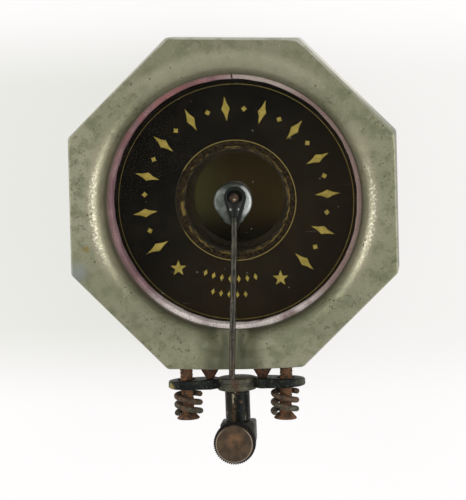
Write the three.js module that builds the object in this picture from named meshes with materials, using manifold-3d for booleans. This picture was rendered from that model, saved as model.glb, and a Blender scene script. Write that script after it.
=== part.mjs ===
// Gramophone soundbox, lying on its back. Lengths are in millimetres and angles in radians.
// +Z points out of the front face, +Y to the top of the face and +X to its right.
// The origin is the centre of the tonearm socket's rear face.
import * as THREE from 'three';
import { mergeVertices } from 'three/addons/utils/BufferGeometryUtils.js';
import Module from 'manifold-3d';

const wasm = await Module();
wasm.setup();

// Octagonal case
const caseFlats = 65.7;
const caseCornerRadius = 1.2;
const caseCornerLeast = 0.3;
const bezelDepth = 10;
const bezelEdgeRoll = 0.5;
const windowMargin = 7.25;
const windowLand = 0.8;
const funnelWidth = 3.9;

// Pressed channel that the stylus arm runs in, from the window to the lower flat
const channelHalfWidth = 5.2;
const channelFloorAtWindow = 3.9;
const channelFloorAtEdge = 1.6;

// Back plate
const plateThickness = 2.2;
const plateBossHeight = 0.8;
const plateBossMargin = 1.2;
const plateInset = 0.35;
const plateEdgeChamfer = 0.5;
const throatRadius = 10.4;

// Screws that hold the back plate to the bezel
const backScrewRadius = 0.95;
const backScrewHeadRadius = 1.9;
const backScrewGrip = 4.2;
const backScrewCornerShare = 0.5;

// Gaskets, diaphragm and printed disc
const gasketShowing = 0.9;
const gasketWidth = 2.2;
const gasketHeight = 1.9;
const gasketCorner = 0.55;
const gasketJoint = 0.3;
const rearGasketHeight = 2.1;
const seatClearance = 0.2;
const diaphragmThickness = 0.2;
const diaphragmMargin = 0.25;
const discThickness = 0.3;
const discHoleMargin = 0.15;

// Clamp of the stylus arm at the diaphragm's centre
const hubAboveCentre = 0.8;
const hubScrewRadius = 0.6;
const hubScrewHeadRadius = 0.9;
const hubScrewHeadHeight = 0.7;
const hubScrewHeadEdge = 0.23;
const frontWasherRadius = 3.87;
const frontWasherTip = 4.86;
const frontWasherTipRadius = 1.3;
const frontWasherShiftX = -0.4;
const frontWasherShiftY = -0.85;
const frontWasherThickness = 0.6;
const washerBevel = 0.22;
const rearWasherRadius = 3.4;
const rearWasherThickness = 0.5;
const hubNutFlats = 3.2;
const hubNutThickness = 0.9;
const hubScrewEnd = 0.3;

// Stylus arm
const armRadius = 0.65;
const armEyeRadius = 2.16;
const armEyeThickness = 0.8;
const armEyeBevel = 0.15;
const armTaper = 5.9;
const armOverFloor = 0.55;
const armFootShift = -0.6;
const armFootDepth = 1.6;
const armFootFromBossFront = 0.3;
const armBend = 5;
const armKneeShare = 0.25;
const armAnkleShare = 0.5;
const armEyeLeadShare = 0.33;

// Rocker bar with its boss
const pivotGap = 2.35;
const barOverhang = 3.7;
const barWidth = 6;
const barThickness = 2;
const barBevel = 0.25;
const bossRadius = 3.94;
const bossRise = 0.1;
const bossDrop = 0.4;

// Conical pivots
const pivotSpacing = 10.6;
const pivotBaseRadius = 2.2;
const pivotWaistRadius = 0.9;
const pivotTipRadius = 0.3;
const pivotTipDepth = 0.8;
const pivotShankRadius = 1.2;
const pivotShankLength = 2.6;
const pivotClearance = 0.15;

// Spring-loaded tension screws
const tensionSpacing = 20.2;
const tensionLean = 0.028;
const tensionScrewRadius = 1.3;
const tensionHoleRadius = 1.85;
const tensionGrip = 5;
const tensionHeadRadius = 2.3;
const tensionHeadCone = 1.1;
const tensionHeadLand = 0.12;
const tensionHeadDome = 0.3;

// Tension springs, wound left-handed
const springRadius = 2.33;
const springWireRadius = 0.57;
const springPitch = 1.73;
const springTurns = 2.65;
const springLean = 0.45;
const springGap = 0.3;
const springHeadGap = 0.15;
const springStepsPerTurn = 8;
const springWireSides = 5;

// Needle stem, chuck and screw
const stemRadius = 2.55;
const stemLength = 6.4;
const stemSpigotRadius = 1.5;
const stemSpigotLength = 1.9;
const chuckWidth = 6.9;
const chuckDepth = 6;
const chuckSide = 3.55;
const chuckTopCorner = 0.5;
const chuckBevel = 0.3;
const chuckLand = 3.6;
const needleBoreRadius = 0.9;
const needleBoreDepth = 6.4;
const needleScrewRadius = 1.25;
const thumbHeadRadius = 4.2;
const thumbFaceRadius = 3.6;
const thumbHeadThickness = 3.6;
const thumbHeadGap = 1;
const thumbChamfer = 0.4;
const thumbToothDepth = 0.22;
const thumbTeeth = 72;
const thumbDishDepth = 0.12;

// Rubber insulator, tonearm socket and clamp ring
const insulatorThickness = 4;
const insulatorRadius = 18.2;
const insulatorCorner = 0.5;
const socketReach = 8.3;
const socketBoreRadius = 10.3;
const socketWall = 2;
const socketLedgeRadius = 9.3;
const socketLedgeThickness = 1.2;
const socketBoreDepth = 8;
const socketFlangeRadius = 14;
const socketFlangeThickness = 1.4;
const socketFlangeSetback = 1.2;
const socketRimChamfer = 0.4;
const bayonetSlotWidth = 2.4;
const bayonetSlotDepth = 5.2;
const bayonetTurn = Math.PI / 6;
const clampRingThickness = 1.2;
const clampRingClearance = 0.6;
const clampRingChamfer = 0.25;
const clampScrewCount = 3;
const clampScrewRadius = 0.95;
const clampScrewHeadRadius = 1.7;
const clampScrewHeadHeight = 1;
const clampScrewHeadEdge = 0.25;
const clampScrewGrip = 2.3;

// Clearances
const threadClearance = 0.05;
const fitClearance = 0.15;
const tipClearance = 0.3;
const overrun = 0.4;

// Facets
const roundSides = 56;
const ringSides = 40;
const stemSides = 24;
const screwSides = 14;
const sideSteps = 8;
const lowerSideSteps = 20;
const funnelSteps = 7;
const edgeRollSteps = 2;
const faceRingShares = [0.35, 0.7];
const armSteps = 20;

const caseHalf = caseFlats / 2;

// Heights, from the socket's rear face up to the front of the case
const clampRingZ = socketReach;
const insulatorZ = clampRingZ + clampRingThickness;
const plateBossZ = insulatorZ + insulatorThickness;
const plateZ = plateBossZ + plateBossHeight;
const bezelZ = plateZ + plateThickness;
const faceZ = bezelZ + bezelDepth;
const discZ = bezelZ;
const rearGasketZ = discZ + discThickness;
const diaphragmZ = rearGasketZ + rearGasketHeight;
const frontGasketZ = diaphragmZ + diaphragmThickness;
const lipZ = frontGasketZ + gasketHeight;
const funnelDepth = faceZ - lipZ - windowLand;

// Radii round the window
const windowRadius = caseHalf - windowMargin;
const gasketInner = windowRadius - gasketShowing;
const gasketOuter = gasketInner + gasketWidth;
const cavityRadius = gasketOuter + seatClearance;

// Heights of the hub's stack, in front of and behind the diaphragm
const frontWasherZ = frontGasketZ;
const armEyeZ = frontWasherZ + frontWasherThickness;
const hubScrewHeadZ = armEyeZ + armEyeThickness;
const rearWasherZ = diaphragmZ - rearWasherThickness;
const hubNutZ = rearWasherZ - hubNutThickness;

// Places below the case: the bar hangs under the lower flat
const armZ = faceZ - channelFloorAtEdge + armOverFloor + armRadius;
const rockerZ = armZ + armRadius + armFootFromBossFront - bossRadius;
const barTopY = -caseHalf - pivotGap;
const barBottomY = barTopY - barThickness;
const bossBottomY = barBottomY - bossDrop;
const chuckTopY = bossBottomY - stemLength;
const needleScrewY = chuckTopY - chuckSide;

// Joins and cuts

// Drops the seams of a three.js geometry, so that it becomes one closed solid.
function solidOf(geometry) {
  const bare = geometry.clone();
  bare.deleteAttribute('normal');
  bare.deleteAttribute('uv');
  const welded = mergeVertices(bare);
  const index = welded.index.array;
  const corners = [];
  for (let i = 0; i < index.length; i += 3) {
    const [a, b, c] = [index[i], index[i + 1], index[i + 2]];
    if (a !== b && b !== c && c !== a) corners.push(a, b, c);
  }
  const mesh = new wasm.Mesh({
    numProp: 3,
    vertProperties: new Float32Array(welded.attributes.position.array),
    triVerts: new Uint32Array(corners),
  });
  return new wasm.Manifold(mesh);
}

function geometryOf(solid) {
  const mesh = solid.getMesh();
  const geometry = new THREE.BufferGeometry();
  geometry.setAttribute('position', new THREE.BufferAttribute(mesh.vertProperties, 3));
  geometry.setIndex(new THREE.BufferAttribute(mesh.triVerts, 1));
  geometry.computeVertexNormals();
  return geometry;
}

function cut(geometry, tools) {
  let solid = solidOf(geometry);
  for (const tool of tools) solid = solid.subtract(solidOf(tool));
  return geometryOf(solid);
}

function join(geometries) {
  const [first, ...rest] = geometries.map(solidOf);
  return geometryOf(rest.reduce((sum, solid) => sum.add(solid), first));
}

// Basic forms

// A closed profile of [radius, height] points, counterclockwise, turned round the Y axis.
function turnedY(profile, sides) {
  const points = [...profile, profile[0]].map(([radius, height]) => new THREE.Vector2(radius, height));
  return new THREE.LatheGeometry(points, sides);
}

// The same round the Z axis, with the heights along Z.
function turnedZ(profile, sides) {
  return turnedY(profile, sides).rotateX(Math.PI / 2);
}

function pinY(radius, bottom, top, sides = screwSides) {
  return turnedY([[0, bottom], [radius, bottom], [radius, top], [0, top]], sides);
}

function pinZ(radius, bottom, top, sides = screwSides) {
  return turnedZ([[0, bottom], [radius, bottom], [radius, top], [0, top]], sides);
}

// A quarter round from one point to another, bulging away from the given centre.
function quarter(centre, radius, fromTurn, steps = 3) {
  const points = [];
  for (let i = 0; i <= steps; i += 1) {
    const turn = (fromTurn + i / steps / 4) * 2 * Math.PI;
    points.push([centre[0] + radius * Math.cos(turn), centre[1] + radius * Math.sin(turn)]);
  }
  return points;
}

function circleHole(x, y, radius) {
  const hole = new THREE.Path();
  hole.absarc(x, y, radius, 0, 2 * Math.PI, true);
  return hole;
}

// Outline round a large circle at the top and a small one below it, joined by their tangents.
function dropShape(largeRadius, smallRadius, distance) {
  const lean = Math.asin((largeRadius - smallRadius) / distance);
  const shape = new THREE.Shape();
  shape.absarc(0, 0, largeRadius, -lean, Math.PI + lean, false);
  shape.absarc(0, -distance, smallRadius, Math.PI + lean, 2 * Math.PI - lean, false);
  shape.closePath();
  return shape;
}

// Case outline

const corner = Math.PI / 8;

// Distance from the axis to the rounded octagon's edge, in one direction.
function octagonReach(angle, inset) {
  const half = caseHalf - inset;
  const round = Math.max(caseCornerRadius - inset, caseCornerLeast);
  const side = Math.round(angle / (2 * corner)) * 2 * corner;
  const fromCorner = corner - Math.abs(angle - side);
  const centre = (half - round) / Math.cos(corner);
  const tangent = Math.atan2(round * Math.sin(corner), centre + round * Math.cos(corner));
  if (fromCorner >= tangent) return half / Math.cos(angle - side);
  return centre * Math.cos(fromCorner) + Math.sqrt(round ** 2 - (centre * Math.sin(fromCorner)) ** 2);
}

// Directions of the case's columns of points: the corners' arcs, and finer steps at the lower flat.
function caseAngles() {
  const centre = (caseHalf - caseCornerRadius) / Math.cos(corner);
  const rise = caseCornerRadius * Math.cos(corner);
  const tangent = Math.atan2(caseCornerRadius * Math.sin(corner), centre + rise);
  const angles = [];
  for (let side = 0; side < 8; side += 1) {
    const middle = side * 2 * corner;
    const lower = side === 6;
    const steps = lower ? lowerSideSteps : sideSteps;
    const reach = corner - tangent;
    for (let i = 0; i <= steps; i += 1) angles.push(middle - reach + (2 * reach * i) / steps);
    angles.push(middle + corner);
  }
  return angles;
}

// Height of the face at a radius: flat outside the funnel, rolling down into it inside.
function faceHeight(radius) {
  const inward = Math.min(Math.max((windowRadius + funnelWidth - radius) / funnelWidth, 0), 1);
  return faceZ - funnelDepth * (1 - Math.sqrt(1 - inward ** 2));
}

// How far the arm's channel sinks the face at a place.
function channelDip(x, y) {
  if (y > 0) return 0;
  const radius = Math.hypot(x, y);
  const along = Math.min(Math.max((-y - windowRadius) / (caseHalf - windowRadius), 0), 1);
  const floor = faceZ - channelFloorAtWindow - (channelFloorAtEdge - channelFloorAtWindow) * along;
  const across = Math.exp(-((x / channelHalfWidth) ** 2) * 2);
  return across * Math.max(faceHeight(radius) - floor, 0);
}

// Closed skin through rings of points, each ring with one point per direction.
function skinOf(rings) {
  const columns = rings[0].length;
  const positions = rings.flat(2);
  const index = [];
  rings.forEach((ring, k) => {
    const next = (k + 1) % rings.length;
    for (let i = 0; i < columns; i += 1) {
      const j = (i + 1) % columns;
      const [a, b] = [k * columns + i, k * columns + j];
      const [c, d] = [next * columns + i, next * columns + j];
      index.push(a, b, d, a, d, c);
    }
  });
  const geometry = new THREE.BufferGeometry();
  geometry.setAttribute('position', new THREE.Float32BufferAttribute(positions, 3));
  geometry.setIndex(index);
  return geometry;
}

function bezelBody() {
  const angles = caseAngles();
  const at = (angle, radius, z) => [radius * Math.cos(angle), radius * Math.sin(angle), z];
  const level = (radius, z) => angles.map((angle) => at(angle, radius, z));
  const onFace = (reachOf, drop) => angles.map((angle) => {
    const radius = reachOf(angle);
    const [x, y] = at(angle, radius, 0);
    return [x, y, faceHeight(radius) - channelDip(x, y) - drop];
  });
  const rings = [level(cavityRadius, bezelZ), level(cavityRadius, lipZ), level(windowRadius, lipZ)];
  for (let i = 0; i <= funnelSteps; i += 1) {
    const share = Math.cos((Math.PI / 2) * (1 - i / funnelSteps));
    const radius = windowRadius + funnelWidth * (1 - Math.sqrt(Math.max(1 - share ** 2, 0)));
    rings.push(onFace(() => radius, 0));
  }
  const flatStart = windowRadius + funnelWidth;
  for (const share of faceRingShares) {
    rings.push(onFace((angle) => flatStart + (octagonReach(angle, bezelEdgeRoll) - flatStart) * share, 0));
  }
  for (let i = 0; i <= edgeRollSteps; i += 1) {
    const turn = (Math.PI / 2) * (i / edgeRollSteps);
    const inset = bezelEdgeRoll * (1 - Math.sin(turn));
    rings.push(onFace((angle) => octagonReach(angle, inset), bezelEdgeRoll * (1 - Math.cos(turn))));
  }
  rings.push(angles.map((angle) => at(angle, octagonReach(angle, 0), bezelZ)));
  return skinOf(rings.reverse());
}

// The places of the back plate's four screws, in the corners nearest the left and right.
const backScrewPlaces = [corner, Math.PI - corner, Math.PI + corner, -corner].map((angle) => {
  const reach = caseHalf / Math.cos(corner);
  const radius = cavityRadius + (reach - cavityRadius) * backScrewCornerShare;
  return [radius * Math.cos(angle), radius * Math.sin(angle)];
});

function frontBezel() {
  const holes = backScrewPlaces.map(([x, y]) => {
    const end = bezelZ + backScrewGrip + tipClearance;
    return pinZ(backScrewRadius + threadClearance, bezelZ - overrun, end).translate(x, y, 0);
  });
  const mouth = -caseHalf - overrun;
  for (const side of [-1, 1]) {
    const pivotEnd = -caseHalf + pivotShankLength + tipClearance;
    const screwHole = pinY(tensionScrewRadius + threadClearance, -overrun, tensionGrip + tipClearance);
    const pivotHole = pinY(pivotShankRadius + threadClearance, mouth, pivotEnd);
    screwHole.rotateZ(-side * tensionLean);
    holes.push(screwHole.translate(side * tensionSpacing / 2, -caseHalf, rockerZ));
    holes.push(pivotHole.translate(side * pivotSpacing / 2, 0, rockerZ));
  }
  return cut(bezelBody(), holes);
}

// Back plate and its screws

function octagonShape(inset) {
  const shape = new THREE.Shape();
  const half = caseHalf - inset;
  const reach = half / Math.cos(corner);
  const cornerCut = caseCornerRadius * Math.tan(corner);
  const sideHalf = half * Math.tan(corner) - cornerCut;
  for (let side = 0; side < 8; side += 1) {
    const angle = side * 2 * corner;
    const [cos, sin] = [Math.cos(angle), Math.sin(angle)];
    const from = [half * cos + sideHalf * sin, half * sin - sideHalf * cos];
    const to = [half * cos - sideHalf * sin, half * sin + sideHalf * cos];
    if (side === 0) shape.moveTo(...from);
    shape.lineTo(...to);
    const next = angle + 2 * corner;
    const [nextCos, nextSin] = [Math.cos(next), Math.sin(next)];
    const tip = [reach * Math.cos(angle + corner), reach * Math.sin(angle + corner)];
    const start = [half * nextCos + sideHalf * nextSin, half * nextSin - sideHalf * nextCos];
    shape.quadraticCurveTo(...tip, ...start);
  }
  return shape;
}

// Countersunk screw along Z with its head's flat face at the bottom.
function countersunkProfile(shankRadius, headRadius, length, margin = 0) {
  const cone = headRadius - shankRadius;
  const floor = -margin;
  return [
    [0, floor],
    [headRadius + margin, floor],
    [headRadius + margin, 0],
    [shankRadius + margin, cone],
    [shankRadius + margin, length],
    [0, length],
  ];
}

const backScrewLength = plateThickness + backScrewGrip;

function backPlate() {
  const plate = new THREE.ExtrudeGeometry(octagonShape(plateInset + plateEdgeChamfer), {
    depth: plateThickness - plateEdgeChamfer,
    bevelThickness: plateEdgeChamfer,
    bevelSize: plateEdgeChamfer,
    bevelSegments: 1,
    curveSegments: 3,
  });
  plate.translate(0, 0, plateZ + plateEdgeChamfer);
  const front = new THREE.BoxGeometry(2 * caseFlats, 2 * caseFlats, caseFlats);
  front.translate(0, 0, bezelZ + caseFlats / 2);
  const bossRim = insulatorRadius + plateBossMargin;
  const boss = turnedZ([
    [0, plateBossZ],
    [bossRim - plateBossHeight, plateBossZ],
    [bossRim, plateZ],
    [bossRim, plateZ + plateThickness / 2],
    [0, plateZ + plateThickness / 2],
  ], roundSides);
  const holes = [front, pinZ(throatRadius, plateBossZ - overrun, bezelZ + overrun, roundSides)];
  for (const [x, y] of backScrewPlaces) {
    const profile = countersunkProfile(backScrewRadius, backScrewHeadRadius, backScrewLength, fitClearance);
    holes.push(turnedZ(profile, screwSides).translate(x, y, plateZ));
  }
  for (const [x, y] of clampScrewPlaces) {
    const end = plateBossZ + clampScrewGrip + tipClearance;
    holes.push(pinZ(clampScrewRadius + threadClearance, plateBossZ - overrun, end).translate(x, y, 0));
  }
  return cut(join([plate, boss]), holes);
}

// Rubber insulator, socket and clamp ring

const socketOuter = socketBoreRadius + socketWall;
const clampScrewCircle = (socketFlangeRadius + insulatorRadius) / 2;
const clampScrewPlaces = Array.from({ length: clampScrewCount }, (_, i) => {
  const angle = Math.PI / 2 + (2 * Math.PI * i) / clampScrewCount;
  return [clampScrewCircle * Math.cos(angle), clampScrewCircle * Math.sin(angle)];
});
const flangeTopZ = plateBossZ - socketFlangeSetback;
const flangeZ = flangeTopZ - socketFlangeThickness;

function rubberInsulator() {
  const lowRound = [insulatorRadius - insulatorCorner, insulatorZ + insulatorCorner];
  const highRound = [insulatorRadius - insulatorCorner, plateBossZ - insulatorCorner];
  const body = turnedZ([
    [throatRadius, flangeTopZ],
    [socketFlangeRadius + fitClearance, flangeTopZ],
    [socketFlangeRadius + fitClearance, flangeZ],
    [socketOuter + fitClearance, flangeZ],
    [socketOuter + fitClearance, insulatorZ],
    ...quarter(lowRound, insulatorCorner, 0.75, 2),
    ...quarter(highRound, insulatorCorner, 0, 2),
    [throatRadius, plateBossZ],
  ], ringSides);
  return cut(body, clampScrewPlaces.map(([x, y]) => {
    const hole = pinZ(clampScrewRadius + fitClearance, insulatorZ - overrun, plateBossZ + overrun);
    return hole.translate(x, y, 0);
  }));
}

// The L-shaped slot in the socket's wall that a pin on the tonearm locks into.
function bayonetSlot() {
  const [inner, outer] = [socketBoreRadius - overrun, socketOuter + overrun];
  const entry = new THREE.BoxGeometry(bayonetSlotWidth, outer - inner, bayonetSlotDepth + overrun);
  entry.translate(0, (inner + outer) / 2, (bayonetSlotDepth - overrun) / 2);
  const start = Math.PI / 2 - Math.atan2(bayonetSlotWidth / 2, outer) / 2;
  const sector = new THREE.Shape();
  sector.absarc(0, 0, outer, start, start + bayonetTurn, false);
  sector.absarc(0, 0, inner, start + bayonetTurn, start, true);
  sector.closePath();
  const plain = { depth: bayonetSlotWidth, bevelEnabled: false, curveSegments: 6 };
  const lock = new THREE.ExtrudeGeometry(sector, plain);
  lock.translate(0, 0, bayonetSlotDepth - bayonetSlotWidth);
  return join([entry, lock]);
}

function tonearmSocket() {
  const ledgeTop = socketBoreDepth + socketLedgeThickness;
  const body = turnedZ([
    [socketBoreRadius + socketRimChamfer, 0],
    [socketOuter - socketRimChamfer, 0],
    [socketOuter, socketRimChamfer],
    [socketOuter, flangeZ],
    [socketFlangeRadius, flangeZ],
    [socketFlangeRadius, flangeTopZ],
    [throatRadius, flangeTopZ],
    [throatRadius, ledgeTop],
    [socketLedgeRadius, ledgeTop],
    [socketLedgeRadius, socketBoreDepth],
    [socketBoreRadius, socketBoreDepth],
    [socketBoreRadius, socketRimChamfer],
  ], roundSides);
  return geometryOf(solidOf(body).subtract(solidOf(bayonetSlot())));
}

function clampRing() {
  const [inner, outer] = [socketOuter + clampRingClearance, insulatorRadius];
  const body = turnedZ([
    [inner, clampRingZ],
    [outer - clampRingChamfer, clampRingZ],
    [outer, clampRingZ + clampRingChamfer],
    [outer, insulatorZ],
    [inner, insulatorZ],
  ], ringSides);
  return cut(body, clampScrewPlaces.map(([x, y]) => {
    const hole = pinZ(clampScrewRadius + fitClearance, clampRingZ - overrun, insulatorZ + overrun);
    return hole.translate(x, y, 0);
  }));
}

function clampScrew() {
  const end = clampRingThickness + insulatorThickness + clampScrewGrip;
  return turnedZ([
    [0, -clampScrewHeadHeight],
    [clampScrewHeadRadius - clampScrewHeadEdge, -clampScrewHeadHeight],
    [clampScrewHeadRadius, -clampScrewHeadHeight + clampScrewHeadEdge],
    [clampScrewHeadRadius, 0],
    [clampScrewRadius, 0],
    [clampScrewRadius, end],
    [0, end],
  ], screwSides);
}

// Gaskets, diaphragm and printed disc

function gasketRing(height) {
  const [low, high] = [gasketCorner, height - gasketCorner];
  const [left, right] = [gasketInner + gasketCorner, gasketOuter - gasketCorner];
  return turnedZ([
    ...quarter([left, low], gasketCorner, 0.5, 1),
    ...quarter([right, low], gasketCorner, 0.75, 1),
    ...quarter([right, high], gasketCorner, 0, 1),
    ...quarter([left, high], gasketCorner, 0.25, 2),
  ], roundSides);
}

// A gasket is a strip bent to a ring, so its two ends leave a thin joint at the top.
function splitGasket(height) {
  const gap = new THREE.BoxGeometry(gasketJoint, 2 * gasketWidth, 2 * height);
  gap.translate(0, (gasketInner + gasketOuter) / 2, height / 2);
  return cut(gasketRing(height), [gap]);
}

function flatRing(innerRadius, outerRadius, thickness, sides = roundSides) {
  return turnedZ([
    [innerRadius, 0],
    [outerRadius, 0],
    [outerRadius, thickness],
    [innerRadius, thickness],
  ], sides);
}

function diaphragm() {
  const sheet = pinZ(gasketOuter - diaphragmMargin, 0, diaphragmThickness, roundSides);
  const hole = pinZ(hubScrewRadius + fitClearance, -overrun, diaphragmThickness + overrun);
  return cut(sheet, [hole.translate(0, hubAboveCentre, 0)]);
}

// Stylus arm and its clamp

function frontWasher() {
  const shape = dropShape(frontWasherRadius - washerBevel, frontWasherTipRadius - washerBevel,
    frontWasherTip - frontWasherTipRadius);
  const holeRadius = hubScrewRadius + fitClearance + washerBevel;
  shape.holes.push(circleHole(-frontWasherShiftX, -frontWasherShiftY, holeRadius));
  const washer = new THREE.ExtrudeGeometry(shape, {
    depth: frontWasherThickness - 2 * washerBevel,
    bevelThickness: washerBevel,
    bevelSize: washerBevel,
    bevelSegments: 2,
    curveSegments: 12,
  });
  return washer.translate(0, 0, washerBevel);
}

function rearWasher() {
  return flatRing(hubScrewRadius + fitClearance, rearWasherRadius, rearWasherThickness, stemSides);
}

function hubNut() {
  const hexRadius = hubNutFlats / Math.sqrt(3);
  const shape = new THREE.Shape();
  for (let side = 0; side < 6; side += 1) {
    const angle = (side * Math.PI) / 3;
    const point = [hexRadius * Math.cos(angle), hexRadius * Math.sin(angle)];
    if (side === 0) shape.moveTo(...point);
    else shape.lineTo(...point);
  }
  shape.closePath();
  shape.holes.push(circleHole(0, 0, hubScrewRadius + threadClearance));
  return new THREE.ExtrudeGeometry(shape, { depth: hubNutThickness, bevelEnabled: false, curveSegments: 8 });
}

function hubScrew() {
  const bottom = hubNutZ - hubScrewEnd - hubScrewHeadZ;
  return turnedZ([
    [0, bottom],
    [hubScrewRadius, bottom],
    [hubScrewRadius, 0],
    [hubScrewHeadRadius, 0],
    [hubScrewHeadRadius, hubScrewHeadHeight - hubScrewHeadEdge],
    [hubScrewHeadRadius - hubScrewHeadEdge, hubScrewHeadHeight],
    [0, hubScrewHeadHeight],
  ], screwSides);
}

// Middle line of the arm's rod: level in the boss, up a gentle slope and level again at the eye.
function armLine() {
  const [footY, topY] = [barTopY - armFootDepth, hubAboveCentre - armTaper];
  const eyeZ = armEyeZ + armRadius;
  const kneeY = -caseHalf;
  const leanAt = (y) => armFootShift * (hubAboveCentre - y) / (hubAboveCentre - barTopY);
  const point = (y, z) => new THREE.Vector3(leanAt(y), y, z);
  const knee = point(kneeY, armZ);
  const ankle = point(topY - armBend * armAnkleShare, eyeZ);
  const slope = (armZ - eyeZ) / (knee.y - ankle.y);
  const path = new THREE.CurvePath();
  const kneeIn = point(kneeY - armBend * armKneeShare, armZ);
  const kneeOut = point(kneeY + armBend, armZ + slope * armBend);
  const ankleIn = point(ankle.y - armBend * armAnkleShare, eyeZ - slope * armBend * armAnkleShare);
  const ankleOut = point(topY + armTaper * armEyeLeadShare, eyeZ);
  path.add(new THREE.LineCurve3(point(footY, armZ), kneeIn));
  path.add(new THREE.QuadraticBezierCurve3(kneeIn, knee, kneeOut));
  path.add(new THREE.LineCurve3(kneeOut, ankleIn));
  path.add(new THREE.QuadraticBezierCurve3(ankleIn, ankle, ankleOut));
  return path;
}

function stylusArm() {
  const section = new THREE.Shape();
  section.absarc(0, 0, armRadius, 0, 2 * Math.PI, false);
  const along = { steps: armSteps, extrudePath: armLine(), curveSegments: 5 };
  const rod = new THREE.ExtrudeGeometry(section, along);
  const shape = dropShape(armEyeRadius - armEyeBevel, armRadius - armEyeBevel, armTaper);
  shape.holes.push(circleHole(0, 0, hubScrewRadius + fitClearance + armEyeBevel));
  const eye = new THREE.ExtrudeGeometry(shape, {
    depth: armEyeThickness - 2 * armEyeBevel,
    bevelThickness: armEyeBevel,
    bevelSize: armEyeBevel,
    bevelSegments: 1,
    curveSegments: 12,
  });
  eye.translate(0, hubAboveCentre, armEyeZ + armEyeBevel);
  return join([rod, eye]);
}

// Rocker bar, pivots, tension screws and springs

function rockerBar() {
  const shape = new THREE.Shape();
  const [half, round] = [tensionSpacing / 2 + barOverhang - barBevel, barWidth / 2 - barBevel];
  shape.absarc(half - round, 0, round, -Math.PI / 2, Math.PI / 2, false);
  shape.absarc(-half + round, 0, round, Math.PI / 2, 1.5 * Math.PI, false);
  shape.closePath();
  const bar = new THREE.ExtrudeGeometry(shape, {
    depth: barThickness - 2 * barBevel,
    bevelThickness: barBevel,
    bevelSize: barBevel,
    bevelSegments: 1,
    curveSegments: 8,
  });
  bar.rotateX(Math.PI / 2).translate(0, barTopY - barBevel, rockerZ);
  const boss = turnedY([
    [0, bossBottomY],
    [bossRadius - barBevel, bossBottomY],
    [bossRadius, bossBottomY + barBevel],
    [bossRadius, barTopY + bossRise - barBevel],
    [bossRadius - barBevel, barTopY + bossRise],
    [0, barTopY + bossRise],
  ], stemSides).translate(0, 0, rockerZ);
  const holes = [];
  for (const side of [-1, 1]) {
    const screwHole = pinY(tensionHoleRadius, barBottomY - overrun, barTopY + overrun);
    holes.push(screwHole.translate(side * tensionSpacing / 2, 0, rockerZ));
    const pit = turnedY(pivotTip(pivotClearance), screwSides);
    holes.push(pit.translate(side * pivotSpacing / 2, barTopY, rockerZ));
  }
  const spigotEnd = bossBottomY + stemSpigotLength + tipClearance;
  const spigotHole = pinY(stemSpigotRadius + threadClearance, bossBottomY - overrun, spigotEnd);
  holes.push(spigotHole.translate(0, 0, rockerZ));
  const foot = armLine().getPoint(0);
  const footHole = pinY(armRadius + fitClearance, foot.y - tipClearance, barTopY + overrun);
  holes.push(footHole.translate(foot.x, 0, armZ));
  return cut(join([bar, boss]), holes);
}

// Profile of a pivot's tip from the bar's top face down into its pit, or of the pit itself.
function pivotTip(margin) {
  return [
    [0, -pivotTipDepth - margin],
    [pivotTipRadius + margin, -pivotTipDepth - margin],
    [pivotWaistRadius + margin, 0],
    [pivotWaistRadius + margin, margin],
    [0, margin],
  ];
}

function pivotCone() {
  const [tipEnd, tipSide] = pivotTip(0);
  return turnedY([
    tipEnd,
    tipSide,
    [pivotWaistRadius, 0],
    [pivotBaseRadius, pivotGap],
    [pivotShankRadius, pivotGap],
    [pivotShankRadius, pivotGap + pivotShankLength],
    [0, pivotGap + pivotShankLength],
  ], screwSides);
}

// A tension screw leans towards the middle, and its spring with it.
// Heights on both are counted from the case's lower flat, where the screw comes out.
const springTopY = barBottomY + caseHalf - springGap - springWireRadius;

// The head's cone reaches up inside the spring until the wire's end just clears it.
function tensionHeadTop() {
  const flare = tensionHeadRadius - tensionScrewRadius;
  const slant = Math.hypot(flare, tensionHeadCone);
  const reach = springRadius - tensionScrewRadius;
  const wanted = springWireRadius + springHeadGap;
  return springPoint(springTurns).y + (reach * tensionHeadCone - wanted * slant) / flare;
}

// A shallow dome's half profile, from its lowest point towards its rim.
function domeBelow(rimRadius, rimHeight, depth, steps = 3) {
  return Array.from({ length: steps }, (_, i) => {
    const turn = (Math.PI / 2) * (i / steps);
    return [rimRadius * Math.sin(turn), rimHeight - depth * Math.cos(turn)];
  });
}

function tensionScrew() {
  const headTop = tensionHeadTop();
  const edge = headTop - tensionHeadCone;
  return turnedY([
    ...domeBelow(tensionHeadRadius, edge - tensionHeadLand, tensionHeadDome),
    [tensionHeadRadius, edge - tensionHeadLand],
    [tensionHeadRadius, edge],
    [tensionScrewRadius, headTop],
    [tensionScrewRadius, tensionGrip],
    [0, tensionGrip],
  ], screwSides);
}

// Middle line of a spring: a left-handed descent from its right side, with its left side a little higher.
function springPoint(turns) {
  const angle = -2 * Math.PI * turns;
  const [x, z] = [springRadius * Math.cos(angle), springRadius * Math.sin(angle)];
  const lean = springLean * (1 - Math.cos(angle)) / 2;
  return new THREE.Vector3(x, springTopY - springPitch * turns + lean, z);
}

function springPoints() {
  const steps = Math.ceil(springTurns * springStepsPerTurn);
  return Array.from({ length: steps + 1 }, (_, i) => springPoint((springTurns * i) / steps));
}

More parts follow.
